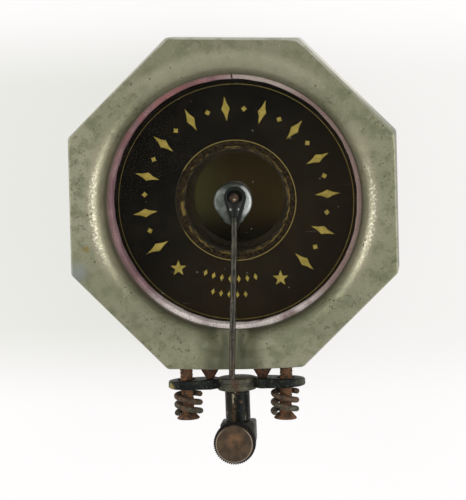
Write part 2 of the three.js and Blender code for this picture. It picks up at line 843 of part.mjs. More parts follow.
// One unbroken tube of wire along the spring's middle line, closed at both ends.
function tensionSpring() {
  const line = springPoints();
  const positions = [];
  const index = [];
  line.forEach((point, i) => {
    const ahead = line[Math.min(i + 1, line.length - 1)];
    const behind = line[Math.max(i - 1, 0)];
    const tangent = ahead.clone().sub(behind).normalize();
    const outward = new THREE.Vector3(point.x, 0, point.z).normalize();
    const across = tangent.clone().cross(outward).normalize();
    const out = across.clone().cross(tangent).normalize();
    for (let k = 0; k < springWireSides; k += 1) {
      const turn = (2 * Math.PI * k) / springWireSides;
      const place = point.clone()
        .addScaledVector(out, springWireRadius * Math.cos(turn))
        .addScaledVector(across, springWireRadius * Math.sin(turn));
      positions.push(place.x, place.y, place.z);
    }
  });
  for (let i = 0; i < line.length - 1; i += 1) {
    for (let k = 0; k < springWireSides; k += 1) {
      const next = (k + 1) % springWireSides;
      const [a, b] = [i * springWireSides + k, i * springWireSides + next];
      const [c, d] = [a + springWireSides, b + springWireSides];
      index.push(a, b, d, a, d, c);
    }
  }
  const last = (line.length - 1) * springWireSides;
  for (let k = 1; k < springWireSides - 1; k += 1) {
    index.push(0, k + 1, k);
    index.push(last, last + k, last + k + 1);
  }
  const geometry = new THREE.BufferGeometry();
  geometry.setAttribute('position', new THREE.Float32BufferAttribute(positions, 3));
  geometry.setIndex(index);
  geometry.computeVertexNormals();
  return geometry;
}

// Least gap between one turn of the wire and the next, measured on points of its middle line.
function springLeastGap() {
  const fine = 16 * springStepsPerTurn;
  const count = Math.ceil(springTurns * fine);
  const line = Array.from({ length: count + 1 }, (_, i) => springPoint((springTurns * i) / count));
  const apart = Math.round(fine / 2);
  let least = Infinity;
  line.forEach((point, i) => {
    for (let j = i + apart; j < line.length; j += 1) least = Math.min(least, point.distanceTo(line[j]));
  });
  return least - 2 * springWireRadius;
}

// Needle stem, chuck and screw

function needleStem() {
  return turnedY([
    [0, chuckTopY],
    [stemRadius, chuckTopY],
    [stemRadius, bossBottomY],
    [stemSpigotRadius, bossBottomY],
    [stemSpigotRadius, bossBottomY + stemSpigotLength],
    [0, bossBottomY + stemSpigotLength],
  ], stemSides);
}

// Block with a rounded lower end round the needle screw's axis, and a small flat land for the needle.
function needleChuck() {
  const half = chuckWidth / 2 - chuckBevel;
  const land = Math.asin((chuckLand / 2) / half);
  const shape = new THREE.Shape();
  const [top, round] = [chuckSide - chuckBevel, chuckTopCorner];
  shape.moveTo(half, 0);
  shape.lineTo(half, top - round);
  shape.quadraticCurveTo(half, top, half - round, top);
  shape.lineTo(-half + round, top);
  shape.quadraticCurveTo(-half, top, -half, top - round);
  shape.lineTo(-half, 0);
  shape.absarc(0, 0, half, Math.PI, 1.5 * Math.PI - land, false);
  shape.absarc(0, 0, half, 1.5 * Math.PI + land, 2 * Math.PI, false);
  const block = new THREE.ExtrudeGeometry(shape, {
    depth: chuckDepth - 2 * chuckBevel,
    bevelThickness: chuckBevel,
    bevelSize: chuckBevel,
    bevelSegments: 1,
    curveSegments: 10,
  });
  block.translate(0, needleScrewY, rockerZ - chuckDepth / 2 + chuckBevel);
  const endY = needleScrewY - chuckWidth / 2;
  const bore = pinY(needleBoreRadius, endY - overrun, endY + needleBoreDepth).translate(0, 0, rockerZ);
  const screwHole = pinZ(needleScrewRadius + threadClearance, rockerZ, rockerZ + chuckDepth);
  return cut(block, [bore, screwHole.translate(0, needleScrewY, 0)]);
}

const chuckFrontZ = rockerZ + chuckDepth / 2;
const thumbHeadZ = chuckFrontZ + thumbHeadGap;

function thumbscrewShank() {
  return pinZ(needleScrewRadius, rockerZ + needleBoreRadius, thumbHeadZ);
}

// Knurled head: triangular teeth round its side, a chamfer to the front and a shallow dished face.
function thumbscrewHead() {
  const shape = new THREE.Shape();
  for (let i = 0; i < 2 * thumbTeeth; i += 1) {
    const angle = (Math.PI * i) / thumbTeeth;
    const radius = thumbHeadRadius - (i % 2) * thumbToothDepth;
    const point = [radius * Math.cos(angle), radius * Math.sin(angle)];
    if (i === 0) shape.moveTo(...point);
    else shape.lineTo(...point);
  }
  shape.closePath();
  const knurl = new THREE.ExtrudeGeometry(shape, { depth: thumbHeadThickness, bevelEnabled: false });
  const rim = thumbHeadRadius + overrun;
  const slope = overrun * thumbChamfer / (thumbHeadRadius - thumbFaceRadius);
  const envelope = turnedZ([
    [0, 0],
    [thumbHeadRadius - thumbChamfer, 0],
    [rim, thumbChamfer + overrun],
    [rim, thumbHeadThickness - thumbChamfer - slope],
    [thumbFaceRadius, thumbHeadThickness],
    [0, thumbHeadThickness],
  ], ringSides);
  const dish = turnedZ([
    [0, thumbHeadThickness - thumbDishDepth],
    [thumbFaceRadius - thumbChamfer, thumbHeadThickness],
    [thumbFaceRadius - thumbChamfer, thumbHeadThickness + overrun],
    [0, thumbHeadThickness + overrun],
  ], ringSides);
  return geometryOf(solidOf(knurl).intersect(solidOf(envelope)).subtract(solidOf(dish)));
}

// Materials

function finish(color, roughness, metalness) {
  return new THREE.MeshStandardMaterial({ color, roughness, metalness });
}

const nickel = () => finish(0x8c8b72, 0.45, 0.8);
const plateMetal = () => finish(0x84826e, 0.5, 0.8);
const redRubber = () => finish(0xa5878c, 0.8, 0);
const mica = () => {
  const material = finish(0xcbbf9a, 0.1, 0);
  material.transparent = true;
  material.opacity = 0.2;
  return material;
};
const printedBlack = () => finish(0x17140e, 0.5, 0);
const blackLacquer = () => finish(0x2c302d, 0.4, 0.3);
const rust = () => finish(0x69401f, 0.85, 0.3);
const springSteel = () => finish(0x4a4436, 0.6, 0.6);
const darkSteel = () => finish(0x4c4740, 0.45, 0.8);
const greySteel = () => finish(0x868880, 0.35, 0.9);
const copperBrown = () => finish(0x5c4834, 0.5, 0.7);
const blackRubber = () => finish(0x24211d, 0.85, 0);
const brass = () => finish(0x8d7a48, 0.45, 0.9);

// Assembly

const soundbox = new THREE.Group();

function add(parent, name, geometry, material, x = 0, y = 0, z = 0) {
  const mesh = new THREE.Mesh(geometry, material);
  mesh.name = name;
  mesh.position.set(x, y, z);
  parent.add(mesh);
  return mesh;
}

function addCase() {
  add(soundbox, 'front_bezel', frontBezel(), nickel());
  add(soundbox, 'back_plate', backPlate(), plateMetal());
  const disc = flatRing(throatRadius + discHoleMargin, gasketOuter, discThickness);
  add(soundbox, 'printed_disc', disc, printedBlack(), 0, 0, discZ);
  add(soundbox, 'rear_gasket', splitGasket(rearGasketHeight), redRubber(), 0, 0, rearGasketZ);
  add(soundbox, 'diaphragm', diaphragm(), mica(), 0, 0, diaphragmZ);
  add(soundbox, 'front_gasket', splitGasket(gasketHeight), redRubber(), 0, 0, frontGasketZ);
  const backScrew = countersunkProfile(backScrewRadius, backScrewHeadRadius, backScrewLength);
  backScrewPlaces.forEach(([x, y], i) => {
    add(soundbox, `back_screw_${i + 1}`, turnedZ(backScrew, screwSides), greySteel(), x, y, plateZ);
  });
}

function addSocket() {
  add(soundbox, 'rubber_insulator', rubberInsulator(), blackRubber());
  add(soundbox, 'tonearm_socket', tonearmSocket(), brass());
  add(soundbox, 'clamp_ring', clampRing(), plateMetal());
  clampScrewPlaces.forEach(([x, y], i) => {
    add(soundbox, `clamp_screw_${i + 1}`, clampScrew(), greySteel(), x, y, clampRingZ);
  });
}

function addPivots() {
  for (const [name, side] of [['left', -1], ['right', 1]]) {
    add(soundbox, `pivot_cone_${name}`, pivotCone(), rust(), side * pivotSpacing / 2, barTopY, rockerZ);
    const tension = new THREE.Group();
    tension.position.set(side * tensionSpacing / 2, -caseHalf, rockerZ);
    tension.rotation.z = -side * tensionLean;
    soundbox.add(tension);
    add(tension, `tension_screw_${name}`, tensionScrew(), rust());
    add(tension, `tension_spring_${name}`, tensionSpring(), springSteel());
  }
}

function addRocker() {
  const rocker = new THREE.Group();
  soundbox.add(rocker);
  add(rocker, 'rocker_bar', rockerBar(), blackLacquer());
  add(rocker, 'needle_stem', needleStem(), blackLacquer(), 0, 0, rockerZ);
  add(rocker, 'needle_chuck', needleChuck(), darkSteel());
  add(rocker, 'stylus_arm', stylusArm(), darkSteel());
  const washerY = hubAboveCentre + frontWasherShiftY;
  add(rocker, 'front_washer', frontWasher(), greySteel(), frontWasherShiftX, washerY, frontWasherZ);
  add(rocker, 'rear_washer', rearWasher(), greySteel(), 0, hubAboveCentre, rearWasherZ);
  add(rocker, 'hub_nut', hubNut(), darkSteel(), 0, hubAboveCentre, hubNutZ);
  add(rocker, 'hub_screw', hubScrew(), rust(), 0, hubAboveCentre, hubScrewHeadZ);
  const needleScrew = new THREE.Group();
  needleScrew.position.set(0, needleScrewY, 0);
  rocker.add(needleScrew);
  add(needleScrew, 'thumbscrew_shank', thumbscrewShank(), darkSteel());
  add(needleScrew, 'thumbscrew_head', thumbscrewHead(), copperBrown(), 0, 0, thumbHeadZ);
}

addCase();
addSocket();
addPivots();
addRocker();
console.log(`tension spring: least gap to itself ${springLeastGap().toFixed(2)} mm`);

export default soundbox;
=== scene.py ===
import math

import bmesh
import bpy
from mathutils import Matrix, Vector, noise


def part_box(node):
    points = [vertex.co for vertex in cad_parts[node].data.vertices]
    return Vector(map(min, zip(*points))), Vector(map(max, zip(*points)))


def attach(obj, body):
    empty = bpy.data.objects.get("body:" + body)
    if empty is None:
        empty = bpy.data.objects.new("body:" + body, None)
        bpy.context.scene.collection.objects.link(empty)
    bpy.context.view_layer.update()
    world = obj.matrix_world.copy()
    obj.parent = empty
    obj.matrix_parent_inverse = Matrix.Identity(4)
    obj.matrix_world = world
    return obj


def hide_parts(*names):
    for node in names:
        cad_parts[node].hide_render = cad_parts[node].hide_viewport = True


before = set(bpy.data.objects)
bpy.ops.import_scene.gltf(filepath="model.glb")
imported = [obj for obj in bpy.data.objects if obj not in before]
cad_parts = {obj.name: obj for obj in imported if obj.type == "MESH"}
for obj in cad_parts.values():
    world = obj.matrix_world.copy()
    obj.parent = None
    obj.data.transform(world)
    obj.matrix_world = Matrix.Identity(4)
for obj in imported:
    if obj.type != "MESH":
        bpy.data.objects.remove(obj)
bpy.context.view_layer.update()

MM = 0.001
CREASE = 32
AXIS_RADIUS = 1e-4
# Points closer than this, in metres, become one
WELD, NODE_WELD = 1e-7, 1e-6


def span(node):
    """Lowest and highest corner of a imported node, in millimetres."""
    low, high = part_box(node)
    return low / MM, high / MM


# Sizes that the frame gives
BEZEL_LOW, BEZEL_HIGH = span("front_bezel")
GASKET_LOW, GASKET_HIGH = span("front_gasket")
REAR_GASKET_LOW, REAR_GASKET_HIGH = span("rear_gasket")
DISC_LOW, DISC_HIGH = span("printed_disc")
MICA_LOW, MICA_HIGH = span("diaphragm")
BAR_LOW, BAR_HIGH = span("rocker_bar")
STEM_LOW, STEM_HIGH = span("needle_stem")
CHUCK_LOW, CHUCK_HIGH = span("needle_chuck")
HEAD_LOW, HEAD_HIGH = span("thumbscrew_head")
SHANK_HIGH = span("thumbscrew_shank")[1]
ARM_LOW, ARM_HIGH = span("stylus_arm")
WASHER_LOW, WASHER_HIGH = span("front_washer")
HUB_LOW, HUB_HIGH = span("hub_screw")
RUBBER_LOW, RUBBER_HIGH = span("rubber_insulator")
CASE_HALF = BEZEL_HIGH.x
BEZEL_Z, FACE_Z = BEZEL_LOW.z, BEZEL_HIGH.z
ROCKER_Z = (BAR_LOW.z + BAR_HIGH.z) / 2

# Camera, lamps, sky and floor. Lamps have a place and size in metres and a brightness, the floor is in metres
CAMERA_PLACE = (43.94, 42.2, 526.5)
CAMERA_TARGET = (0.1, -9.1, 26.5)
CAMERA_ROLL = math.radians(-1.03)
CAMERA_HALF_SLOPE = 250 / 2537
LAMPS = {"lamp_left": ((-0.72, 0.15, 0.52), (0.55, 0.4), 4.3),
         "lamp_right": ((0.72, -0.07, 0.54), (0.85, 0.35), 4.4)}
SKY_FROM, SKY_LOW, SKY_HIGH = 0.1, 0.54, 0.78
BACKDROP_FROM, BACKDROP_TO, BACKDROP = 0.35, 0.2, 0.88
FLOOR_HALF = 1.5
FLOOR_SHARE = 0.87

# Case
CORNER_RADIUS = 1.2
CORNER_LEAST = 0.3
EDGE_ROLL = 0.42
TOP_ROLL = 0.33
TOP_ROLL_DIRECTION = math.radians(75)
CORNER_ROLL = 0.4
CORNER_ROLL_WIDTH = 2.2
BOTTOM_BOW = 0.3
BOTTOM_BOW_X, BOTTOM_BOW_HALF = 1.5, 13
BOTTOM_BOW_FROM, BOTTOM_BOW_FADE = 29.5, 3
CHANNEL_BOW = 0.22
WINDOW_RADIUS = 25.6
WINDOW_LAND = 0.8
WINDOW_BREAK = 0.08
FUNNEL_WIDTH = 3.9
FUNNEL_DEPTH = FACE_Z - GASKET_HIGH.z - WINDOW_LAND
CHANNEL_X = -0.6
CHANNEL_HALF = 6.2
CHANNEL_AT_WINDOW = 3.9
CHANNEL_AT_EDGE = 1.6
CAVITY_RADIUS = 27.1
# Each side's turn in degrees and shift outwards, as the old casting has worn
SIDE_WEAR = [(0.62, -0.12), (0.2, -0.1), (-1.2, 0.1), (-0.42, -0.36),
             (0.1, -0.29), (-0.09, 0.02), (0.85, 0.02), (-0.57, 0.12)]
SIDES = [(math.radians(45 * side + turn), CASE_HALF + shift) for side, (turn, shift) in enumerate(SIDE_WEAR)]
LOWEST_SIDE = 6
SIDE_STEPS, LOWEST_SIDE_STEPS, CORNER_STEPS = 36, 80, 5
FUNNEL_STEPS, FACE_STEPS, ROLL_STEPS = 26, 8, 6
BACK_EDGE_INSET, BACK_EDGE_RISE = 0.2, 0.25

# Discs and rings behind the window
GASKET_INNER = 24.7
GASKET_OUTER = 26.9
GASKET_JOINT = 0.3
GASKET_CORNER = 0.55
GASKET_STEPS = 220
DISC_HOLE = 10.55
DISC_RAGGED = 12.5
MICA_RADIUS = MICA_HIGH.x
MICA_HOLE = 0.75
MICA_EDGE = 0.06

# Hub and stylus arm
HUB_Y = 0.8
HUB_HEAD_HEIGHT = 0.7
HUB_HOLE = 0.75
ARM_RADIUS = 0.65
ARM_TAPER = 5.9
ARM_EYE_RADIUS = ARM_HIGH.x + 0.08
ARM_EYE_HIGH = ARM_LOW.z + 0.8
EYE_SHIFT = 0.14
ARM_FOOT_SHIFT = -0.6
ARM_Z = ARM_HIGH.z - ARM_RADIUS
ARM_BEND = 5
ARM_STEP = 0.6
BEND_STEPS = 12
ROUND_SIDES = 20
DROP_SIDES = 128
WASHER_RADIUS = 3.87
WASHER_TIP = 4.86
WASHER_TIP_RADIUS = 2.5
WASHER_X = -0.4
WASHER_Y = HUB_Y - 0.85

# Rocker
BAR_TOP_Y = BAR_HIGH.y - 0.1
BAR_BOTTOM_Y = BAR_TOP_Y - 2
BAR_HALF = BAR_HIGH.x
BAR_DEPTH_HALF = 3
BAR_CROWN = 0.35
BAR_EDGE = 0.35
BAR_STEPS = 60
WAIST_OUTER = 5.2
WAIST_INNER = 3.7
WAIST_DEPTH = 1.35
ROCKER_TURN = math.radians(1.1)
ROCKER_SHIFT = 0.12
ROCKER_MIDDLE_Y = (BAR_TOP_Y + BAR_BOTTOM_Y) / 2
BOSS_RADIUS = 3.94
STEM_TONGUE = 1.5
PIVOT_X = 5.3
PIVOT_BASE_RADIUS = 2.2
PIVOT_WAIST_RADIUS = 0.9
PIVOT_PIN_RADIUS = 1.2
PIVOT_HEIGHT = 2.35

# Tension screws and springs, with heights counted from the case's lower flat
TENSION_X = 10.1
TENSION_LEAN = 0.028
TENSION_RADIUS = 1.3
TENSION_END = 1
TENSION_HOLE = 1.85
TENSION_HEAD_RADIUS = 2.3
TENSION_HEAD_CONE = 1.1
TENSION_HEAD_TOP = -9.385
TENSION_HEAD_DOME = 0.3
TENSION_SLOT_HALF = 0.32
THREAD_DEPTH = 0.13
THREAD_PITCH = 0.7
THREAD_SIDES = 36
SPRING_RADIUS = 2.33
SPRING_SHIFT = 0.15
WIRE_RADIUS = 0.57
WIRE_END_SHARE = 0.86
SPRING_STEPS = 150
# For each side: turns, pitch, how much higher its left lies, and the gap under the bar
SPRING_FORMS = {-1: (2.55, 1.73, 0.64, 0.8), 1: (2.62, 1.8, 0.45, 0.2)}

# Needle screw and chuck
THUMB_TEETH = 58
THUMB_FACE_RADIUS = 3.6
TOOTH_DEPTH = 0.3
TOOTH_POINTS = 8
THUMB_Y = (HEAD_LOW.y + HEAD_HIGH.y) / 2
CHUCK_CORNER = 0.55
NEEDLE_BORE = 0.9
NEEDLE_BORE_DEPTH = 6.4

# Screws of the back: piece, node, how many, depth of the slot, and (radius, height) of the head's profile
BACK_SCREWS = [("plate_screw", "back_screw", 4, 0.45, [(1.78, 0), (1.9, 0.1), (0.95, 1.0)]),
               ("ring_screw", "clamp_screw", 3, 0.5, [(1.0, 0.03), (1.4, 0.12), (1.62, 0.32), (1.7, 0.55),
                                                      (1.7, 1), (0.95, 1)])]
BACK_SCREW_SHANK = 0.95
BACK_SLOT_HALF = 0.28

# Gold print: each ring's radius, width and how much lower it lies, then the ornaments.
# Directions are in degrees
GOLD_RINGS = {"gold_ring_outer": (23.87, 0.12, 0.35), "gold_ring_inner": (12.2, 0.13, 0)}
GOLD_BELOW, GOLD_ABOVE = 0.02, 0.025
STAR_PLACES = [(229.0, 18.2), (299.0, 18.2)]
STAR_TIP, STAR_NOTCH = 1.65, 0.68
ORNAMENT_RADIUS = 18.6
ORNAMENT_FROM, ORNAMENT_TO, ORNAMENT_COUNT = 210.3, -42.5, 12
ORNAMENT_HALF_LENGTH, ORNAMENT_HALF_WIDTH = 2.5, 0.85
DOT_HALF = 0.62
LOZENGE_BULGE = 0.42
# Rows of small lozenges at the bottom: radius, how many, degrees apart and half length
SMALL_ROWS = [(16.0, 7, 6.2, 0.75), (19.2, 5, 5.0, 0.7)]
SMALL_ROW_MIDDLE, SMALL_HALF_WIDTH = 265, 0.42


# Camera, light and floor

def add_camera():
    data = bpy.data.cameras.new("camera")
    data.sensor_fit = "VERTICAL"
    data.angle_y = 2 * math.atan(CAMERA_HALF_SLOPE)
    data.clip_start, data.clip_end = 0.01, 20
    camera = bpy.data.objects.new("camera", data)
    bpy.context.scene.collection.objects.link(camera)
    place, target = Vector(CAMERA_PLACE) * MM, Vector(CAMERA_TARGET) * MM
    ahead = (target - place).normalized()
    level = ahead.cross(Vector((0, 1, 0))).normalized()
    up = level.cross(ahead)
    right = level * math.cos(CAMERA_ROLL) + up * math.sin(CAMERA_ROLL)
    above = up * math.cos(CAMERA_ROLL) - level * math.sin(CAMERA_ROLL)
    turn = Matrix((right, above, -ahead)).transposed().to_4x4()
    camera.matrix_world = Matrix.Translation(place) @ turn
    bpy.context.scene.camera = camera


def add_lamp(name, place, size, brightness):
    width, height = size
    data = bpy.data.lights.new(name, "AREA")
    data.shape = "RECTANGLE"
    data.size, data.size_y = width, height
    data.energy = brightness * math.pi * width * height
    lamp = bpy.data.objects.new(name, data)
    lamp.location = place
    lamp.rotation_euler = (-Vector(place)).to_track_quat("-Z", "Y").to_euler()
    bpy.context.scene.collection.objects.link(lamp)


def linear(colour):
    """Linear colour of a picture colour of 0 to 255 a channel."""
    parts = [part / 255 for part in colour]
    return [part / 12.92 if part <= 0.04045 else ((part + 0.055) / 1.055) ** 2.4 for part in parts] + [1.0]


def fill(tree, socket, value):
    """Links a socket to another node's output or sets its value. A colour is a picture colour."""
    if isinstance(value, bpy.types.NodeSocket):
        tree.links.new(value, socket)
    elif socket.type == "RGBA":
        socket.default_value = linear(value)
    else:
        socket.default_value = value


def add_node(tree, kind, inputs, **settings):
    """Adds a shader node, with its settings and the values or links of its inputs."""
    node = tree.nodes.new("ShaderNode" + kind)
    for name, value in settings.items():
        setattr(node, name, value)
    for key, value in inputs.items():
        fill(tree, node.inputs[key], value)
    return node


def seen_directly(tree):
    """1 for a ray from the camera, a mirror or glass, else 0."""
    path = add_node(tree, "LightPath", {})
    total = path.outputs["Is Camera Ray"]
    for name in ("Is Glossy Ray", "Is Transmission Ray"):
        total = add_node(tree, "Math", {0: total, 1: path.outputs[name]}, operation="MAXIMUM").outputs[0]
    return total


def add_world():
    """Pale sky, with a paler backdrop near the horizon for the rays that see it directly."""
    world = bpy.data.worlds.new("studio")
    bpy.context.scene.world = world
    world.use_nodes = True
    tree = world.node_tree
    direction = add_node(tree, "TexCoord", {}).outputs["Generated"]
    height = add_node(tree, "SeparateXYZ", {0: direction}).outputs["Z"]
    sky = add_node(tree, "MapRange", {"Value": height, "From Min": SKY_FROM,
                                      "To Min": SKY_LOW, "To Max": SKY_HIGH})
    low = add_node(tree, "MapRange", {"Value": height, "From Min": BACKDROP_FROM, "From Max": BACKDROP_TO})
    share = add_node(tree, "Math", {0: low.outputs[0], 1: seen_directly(tree)}, operation="MULTIPLY")
    strength = add_node(tree, "Mix", {0: share.outputs[0], 2: sky.outputs[0], 3: BACKDROP})
    background = tree.nodes["Background"]
    fill(tree, background.inputs["Color"], (255, 255, 255))
    fill(tree, background.inputs["Strength"], strength.outputs[0])


def floor_material():
    """Pale card with a painted shadow beside the object, darker at the left, that still takes its own shadow;
    seen through the throat it has painted reflections of the tube's walls and painted shade.
    """
    s = Surface("pale_floor", 0.0, 0.0)
    fill(s.tree, s.shader.inputs["Base Color"], (248, 248, 246))
    s.shader.inputs["Roughness"].default_value = 1.0
    # Painted shadow of the object: a dimmer tone in a strip beside it, darker at the left
    beside = s.both(s.step(s.y, 40, 22), s.step(s.y, -46, -26))
    tone = s.blend(s.step(s.x, -22, 24), (234, 234, 229), (246, 244, 242))
    glow = s.node("Emission", {"Color": s.blend(beside, (255, 253, 253), tone)})
    outside = s.step(s.radius(), 10.9, 11.1)
    share = s.both(seen_directly(s.tree), outside, FLOOR_SHARE)
    card = s.node("MixShader", {0: share, 1: s.shader.outputs[0], 2: glow.outputs[0]})
    # Seen through the throat: painted reflection of the tube's walls, greenish at the left and brown at the
    # right, with painted shade towards the top and bottom
    s.start(s.step(s.x, -9, -1), (110, 110, 68), (100, 84, 50))
    s.tint(s.step(s.y, 3, 9), (76, 64, 40), 0.5)
    s.tint(s.step(s.y, -2, -9), (46, 42, 28))
    throat = s.node("BsdfDiffuse", {"Color": s.colour})
    whole = s.node("MixShader", {0: outside, 1: throat.outputs[0], 2: card.outputs[0]})
    fill(s.tree, s.tree.nodes["Material Output"].inputs[0], whole.outputs[0])
    return s.material


def add_floor():
    corners = [(x * FLOOR_HALF, y * FLOOR_HALF, 0) for x, y in ((-1, -1), (1, -1), (1, 1), (-1, 1))]
    mesh = bpy.data.meshes.new("floor")
    mesh.from_pydata(corners, [], [(0, 1, 2, 3)])
    floor = bpy.data.objects.new("floor", mesh)
    bpy.context.scene.collection.objects.link(floor)
    floor.data.materials.append(floor_material())


# Materials

class Surface:
    """One material: its nodes, and the colour laid on it so far. Places are in millimetres."""

    def __init__(self, name, metallic, specular=0.5):
        self.material = bpy.data.materials.new(name)
        self.material.use_nodes = True
        self.tree = self.material.node_tree
        self.shader = self.tree.nodes["Principled BSDF"]
        self.shader.inputs["Metallic"].default_value = metallic
        self.shader.inputs["Specular IOR Level"].default_value = specular
        self.coordinates = self.node("TexCoord", {})
        metres = self.coordinates.outputs["Object"]
        self.place = self.node("VectorMath", {0: metres, "Scale": 1 / MM}, operation="SCALE").outputs[0]
        self.x, self.y, self.z = self.node("SeparateXYZ", {0: self.place}).outputs
        self.colour = None

    def node(self, kind, inputs, **settings):
        return add_node(self.tree, kind, inputs, **settings)

    def noise(self, size, detail, stretch=None, twist=0.0):
        """Cloudy value round 0.5, with clouds of the given size."""
        place = self.place
        if stretch:
            place = self.node("Mapping", {0: place, "Scale": stretch}).outputs[0]
        inputs = {"Vector": place, "Scale": 1 / size, "Detail": detail, "Distortion": twist}
        return self.node("TexNoise", inputs).outputs[0]

    def cells(self, size):
        """Distance from the nearest of many scattered points, 0 at a point."""
        return self.node("TexVoronoi", {"Vector": self.place, "Scale": 1 / size}).outputs["Distance"]

    def step(self, value, low, high):
        """0 below low, 1 above high, smooth between. Turned round if low is the larger."""
        start, end = (1, 0) if low > high else (0, 1)
        inputs = {"Value": value, "From Min": min(low, high), "From Max": max(low, high),
                  "To Min": start, "To Max": end}
        return self.node("MapRange", inputs, interpolation_type="SMOOTHSTEP").outputs[0]

    def scale(self, value, low, high):
        """Spreads a value of 0 to 1 between two numbers."""
        return self.node("MapRange", {"Value": value, "To Min": low, "To Max": high}).outputs[0]

    def patches(self, size, detail, low, high):
        """1 where a noise is above high, 0 where it is below low."""
        return self.step(self.noise(size, detail), low, high)

    def wander(self, size, detail, low, high):
        """A noise spread between two numbers."""
        return self.scale(self.noise(size, detail), low, high)

    def math(self, operation, first, second=0.0):
        return self.node("Math", {0: first, 1: second}, operation=operation).outputs[0]

    def plus(self, first, second):
        return self.math("ADD", first, second)

    def minus(self, first, second):
        return self.math("SUBTRACT", first, second)

    def either(self, first, second):
        return self.math("MAXIMUM", first, second)

    def both(self, first, *others):
        """Product of masks: 1 where all are 1."""
        for other in others:
            first = self.math("MULTIPLY", first, other)
        return first

    def off(self, value, centre=0.0):
        """How far a value lies from another, either way."""
        return self.math("ABSOLUTE", self.minus(value, centre))

    def away(self, centre):
        """Distance from a point."""
        return self.node("VectorMath", {0: self.place, 1: centre}, operation="DISTANCE").outputs["Value"]

    def radius(self):
        """Distance from the Z axis."""
        return self.math("SQRT", self.plus(self.both(self.x, self.x), self.both(self.y, self.y)))

    def facing(self):
        """Part of the surface's direction along Z, -1 to 1."""
        return self.node("SeparateXYZ", {0: self.coordinates.outputs["Normal"]}).outputs["Z"]

    def blend(self, factor, first, second):
        return self.node("Mix", {0: factor, 6: first, 7: second}, data_type="RGBA").outputs[2]

    def start(self, factor, first, second):
        """Lays the first colour, with the second where the mask is 1."""
        self.colour = self.blend(factor, first, second)

    def tint(self, mask, colour, strength=1):
        """Lays a colour over what is there, where the mask is 1."""
        self.colour = self.blend(self.scale(mask, 0, strength), self.colour, colour)

    def finish(self, roughness, bumps):
        """Sets colour, roughness and bumps of a height and a depth. A depth below 0 is a dent."""
        normal = {}
        for height, depth in bumps:
            inputs = {"Height": height, "Distance": abs(depth) * MM, **normal}
            normal = {"Normal": self.node("Bump", inputs, invert=depth < 0).outputs[0]}
        for key, value in {"Base Color": self.colour, "Roughness": roughness, **normal}.items():
            fill(self.tree, self.shader.inputs[key], value)
        return self.material


def nickel_tone(s, middle, fine):
    """Cloudy and speckled metal; paler at the left and darker at the top and low down, partly patina and
    partly painted light and shade.
    """
    x, y = s.x, s.y
    s.start(s.patches(14, 2, 0.35, 0.65), (130, 131, 104), (139, 137, 113))
    # Paler at the left and darker at the top: partly patina, partly painted light and shade
    s.tint(s.both(s.step(s.off(y), 24, 6), s.step(x, -24, -29)), (154, 152, 128), 0.5)
    s.tint(s.step(y, 14, 30), (116, 114, 90), 0.6)
    s.tint(s.step(middle, 0.44, 0.68), (106, 109, 82), 0.75)
    s.tint(s.step(fine, 0.54, 0.74), (158, 156, 132), 0.35)
    s.tint(s.patches(0.34, 3, 0.54, 0.66), (92, 94, 70), 0.34)
    # Darker low down: partly patina, partly painted shade
    lower = s.both(s.step(y, -2, -12), s.step(y, -29, -25), s.step(x, 30, 18))
    s.tint(lower, (110, 111, 86), 0.34)
    cloud = s.both(s.step(s.noise(1.1, 4, twist=1), 0.56, 0.66), s.patches(9, 2, 0.46, 0.56))
    s.tint(cloud, (84, 86, 62), 0.6)


def nickel_funnel(s):
    """Painted light and shade of the funnel round the window: a painted lighter top, painted shade on its
    deep sides, a painted highlight above its top, and a warm painted highlight with painted glitter at its
    sides.
    """
    x, y, radius = s.x, s.y, s.radius()
    deep = s.step(s.z, FACE_Z - 1.6, FACE_Z - 4.6)
    # Painted light on the funnel's steep top, and painted shade on its deep sides, darker at the right
    s.tint(s.both(deep, s.step(y, 16, 25)), (236, 232, 204), 0.95)
    s.tint(s.both(deep, s.step(y, 22, 10), s.scale(s.step(x, -10, 20), 0.34, 1)), (66, 70, 51))
    # Painted highlight on the face just above the funnel's top
    s.tint(s.both(s.step(radius, 31.6, 29.4), s.step(y, 20, 26)), (170, 166, 140), 0.4)
    # Warm painted tint where the lamps' highlight falls at the funnel's sides, with painted glitter in it
    glow = s.both(s.step(radius, 30, 29), s.step(s.off(y), 20, 10))
    s.tint(glow, (158, 151, 126), 0.45)
    painted_glitter = s.both(glow, s.step(s.off(radius, 28.1), 1.1, 0.3), s.step(s.off(y, -2), 13, 5))
    s.tint(s.both(painted_glitter, s.patches(0.5, 4, 0.46, 0.64)), (226, 218, 198), 0.62)


def nickel_channel(s, middle):
    """Painted shade along the pressed channel, with a lighter core of painted reflection. Gives the painted
    shade's mask.
    """
    off, below = s.off(s.x, CHANNEL_X), s.step(s.y, -22, -25.5)
    channel_shade = s.both(s.step(off, 7.8, 3.8), below, s.scale(middle, 0.9, 1.08))
    # Painted shade on the channel's sloping walls
    s.tint(channel_shade, (73, 73, 52), 0.92)
    # Lighter core: painted reflection on the channel's floor
    core = s.plus(off, s.scale(s.step(s.y, -30, -26), 0, -1.2))
    s.tint(s.both(s.step(core, 2.5, 1.3), below), (138, 138, 113), 0.6)
    return channel_shade


def nickel_edges(s):
    """Worn edge of the face with a painted highlight, brighter towards the top, and a darker line below it.
    Gives the bright edge's mask.
    """
    facing, slant = s.facing(), s.minus(s.y, s.both(s.x, 0.1))
    # Partly rubbed nickel, partly a painted highlight on the rolled edge, stronger towards the top
    edge = s.both(s.step(facing, 0.97, 0.8), s.step(s.radius(), CASE_HALF - 2.2, CASE_HALF - 1.2),
                  s.scale(s.patches(2.4, 3, 0.3, 0.55), 0.55, 1), s.scale(s.step(slant, 20, 30), 0.35, 1))
    s.tint(edge, (188, 188, 174), 0.82)
    s.tint(s.both(s.step(facing, 0.5, 0.3), s.step(facing, 0.02, 0.1)), (96, 90, 74), 0.6)
    return edge


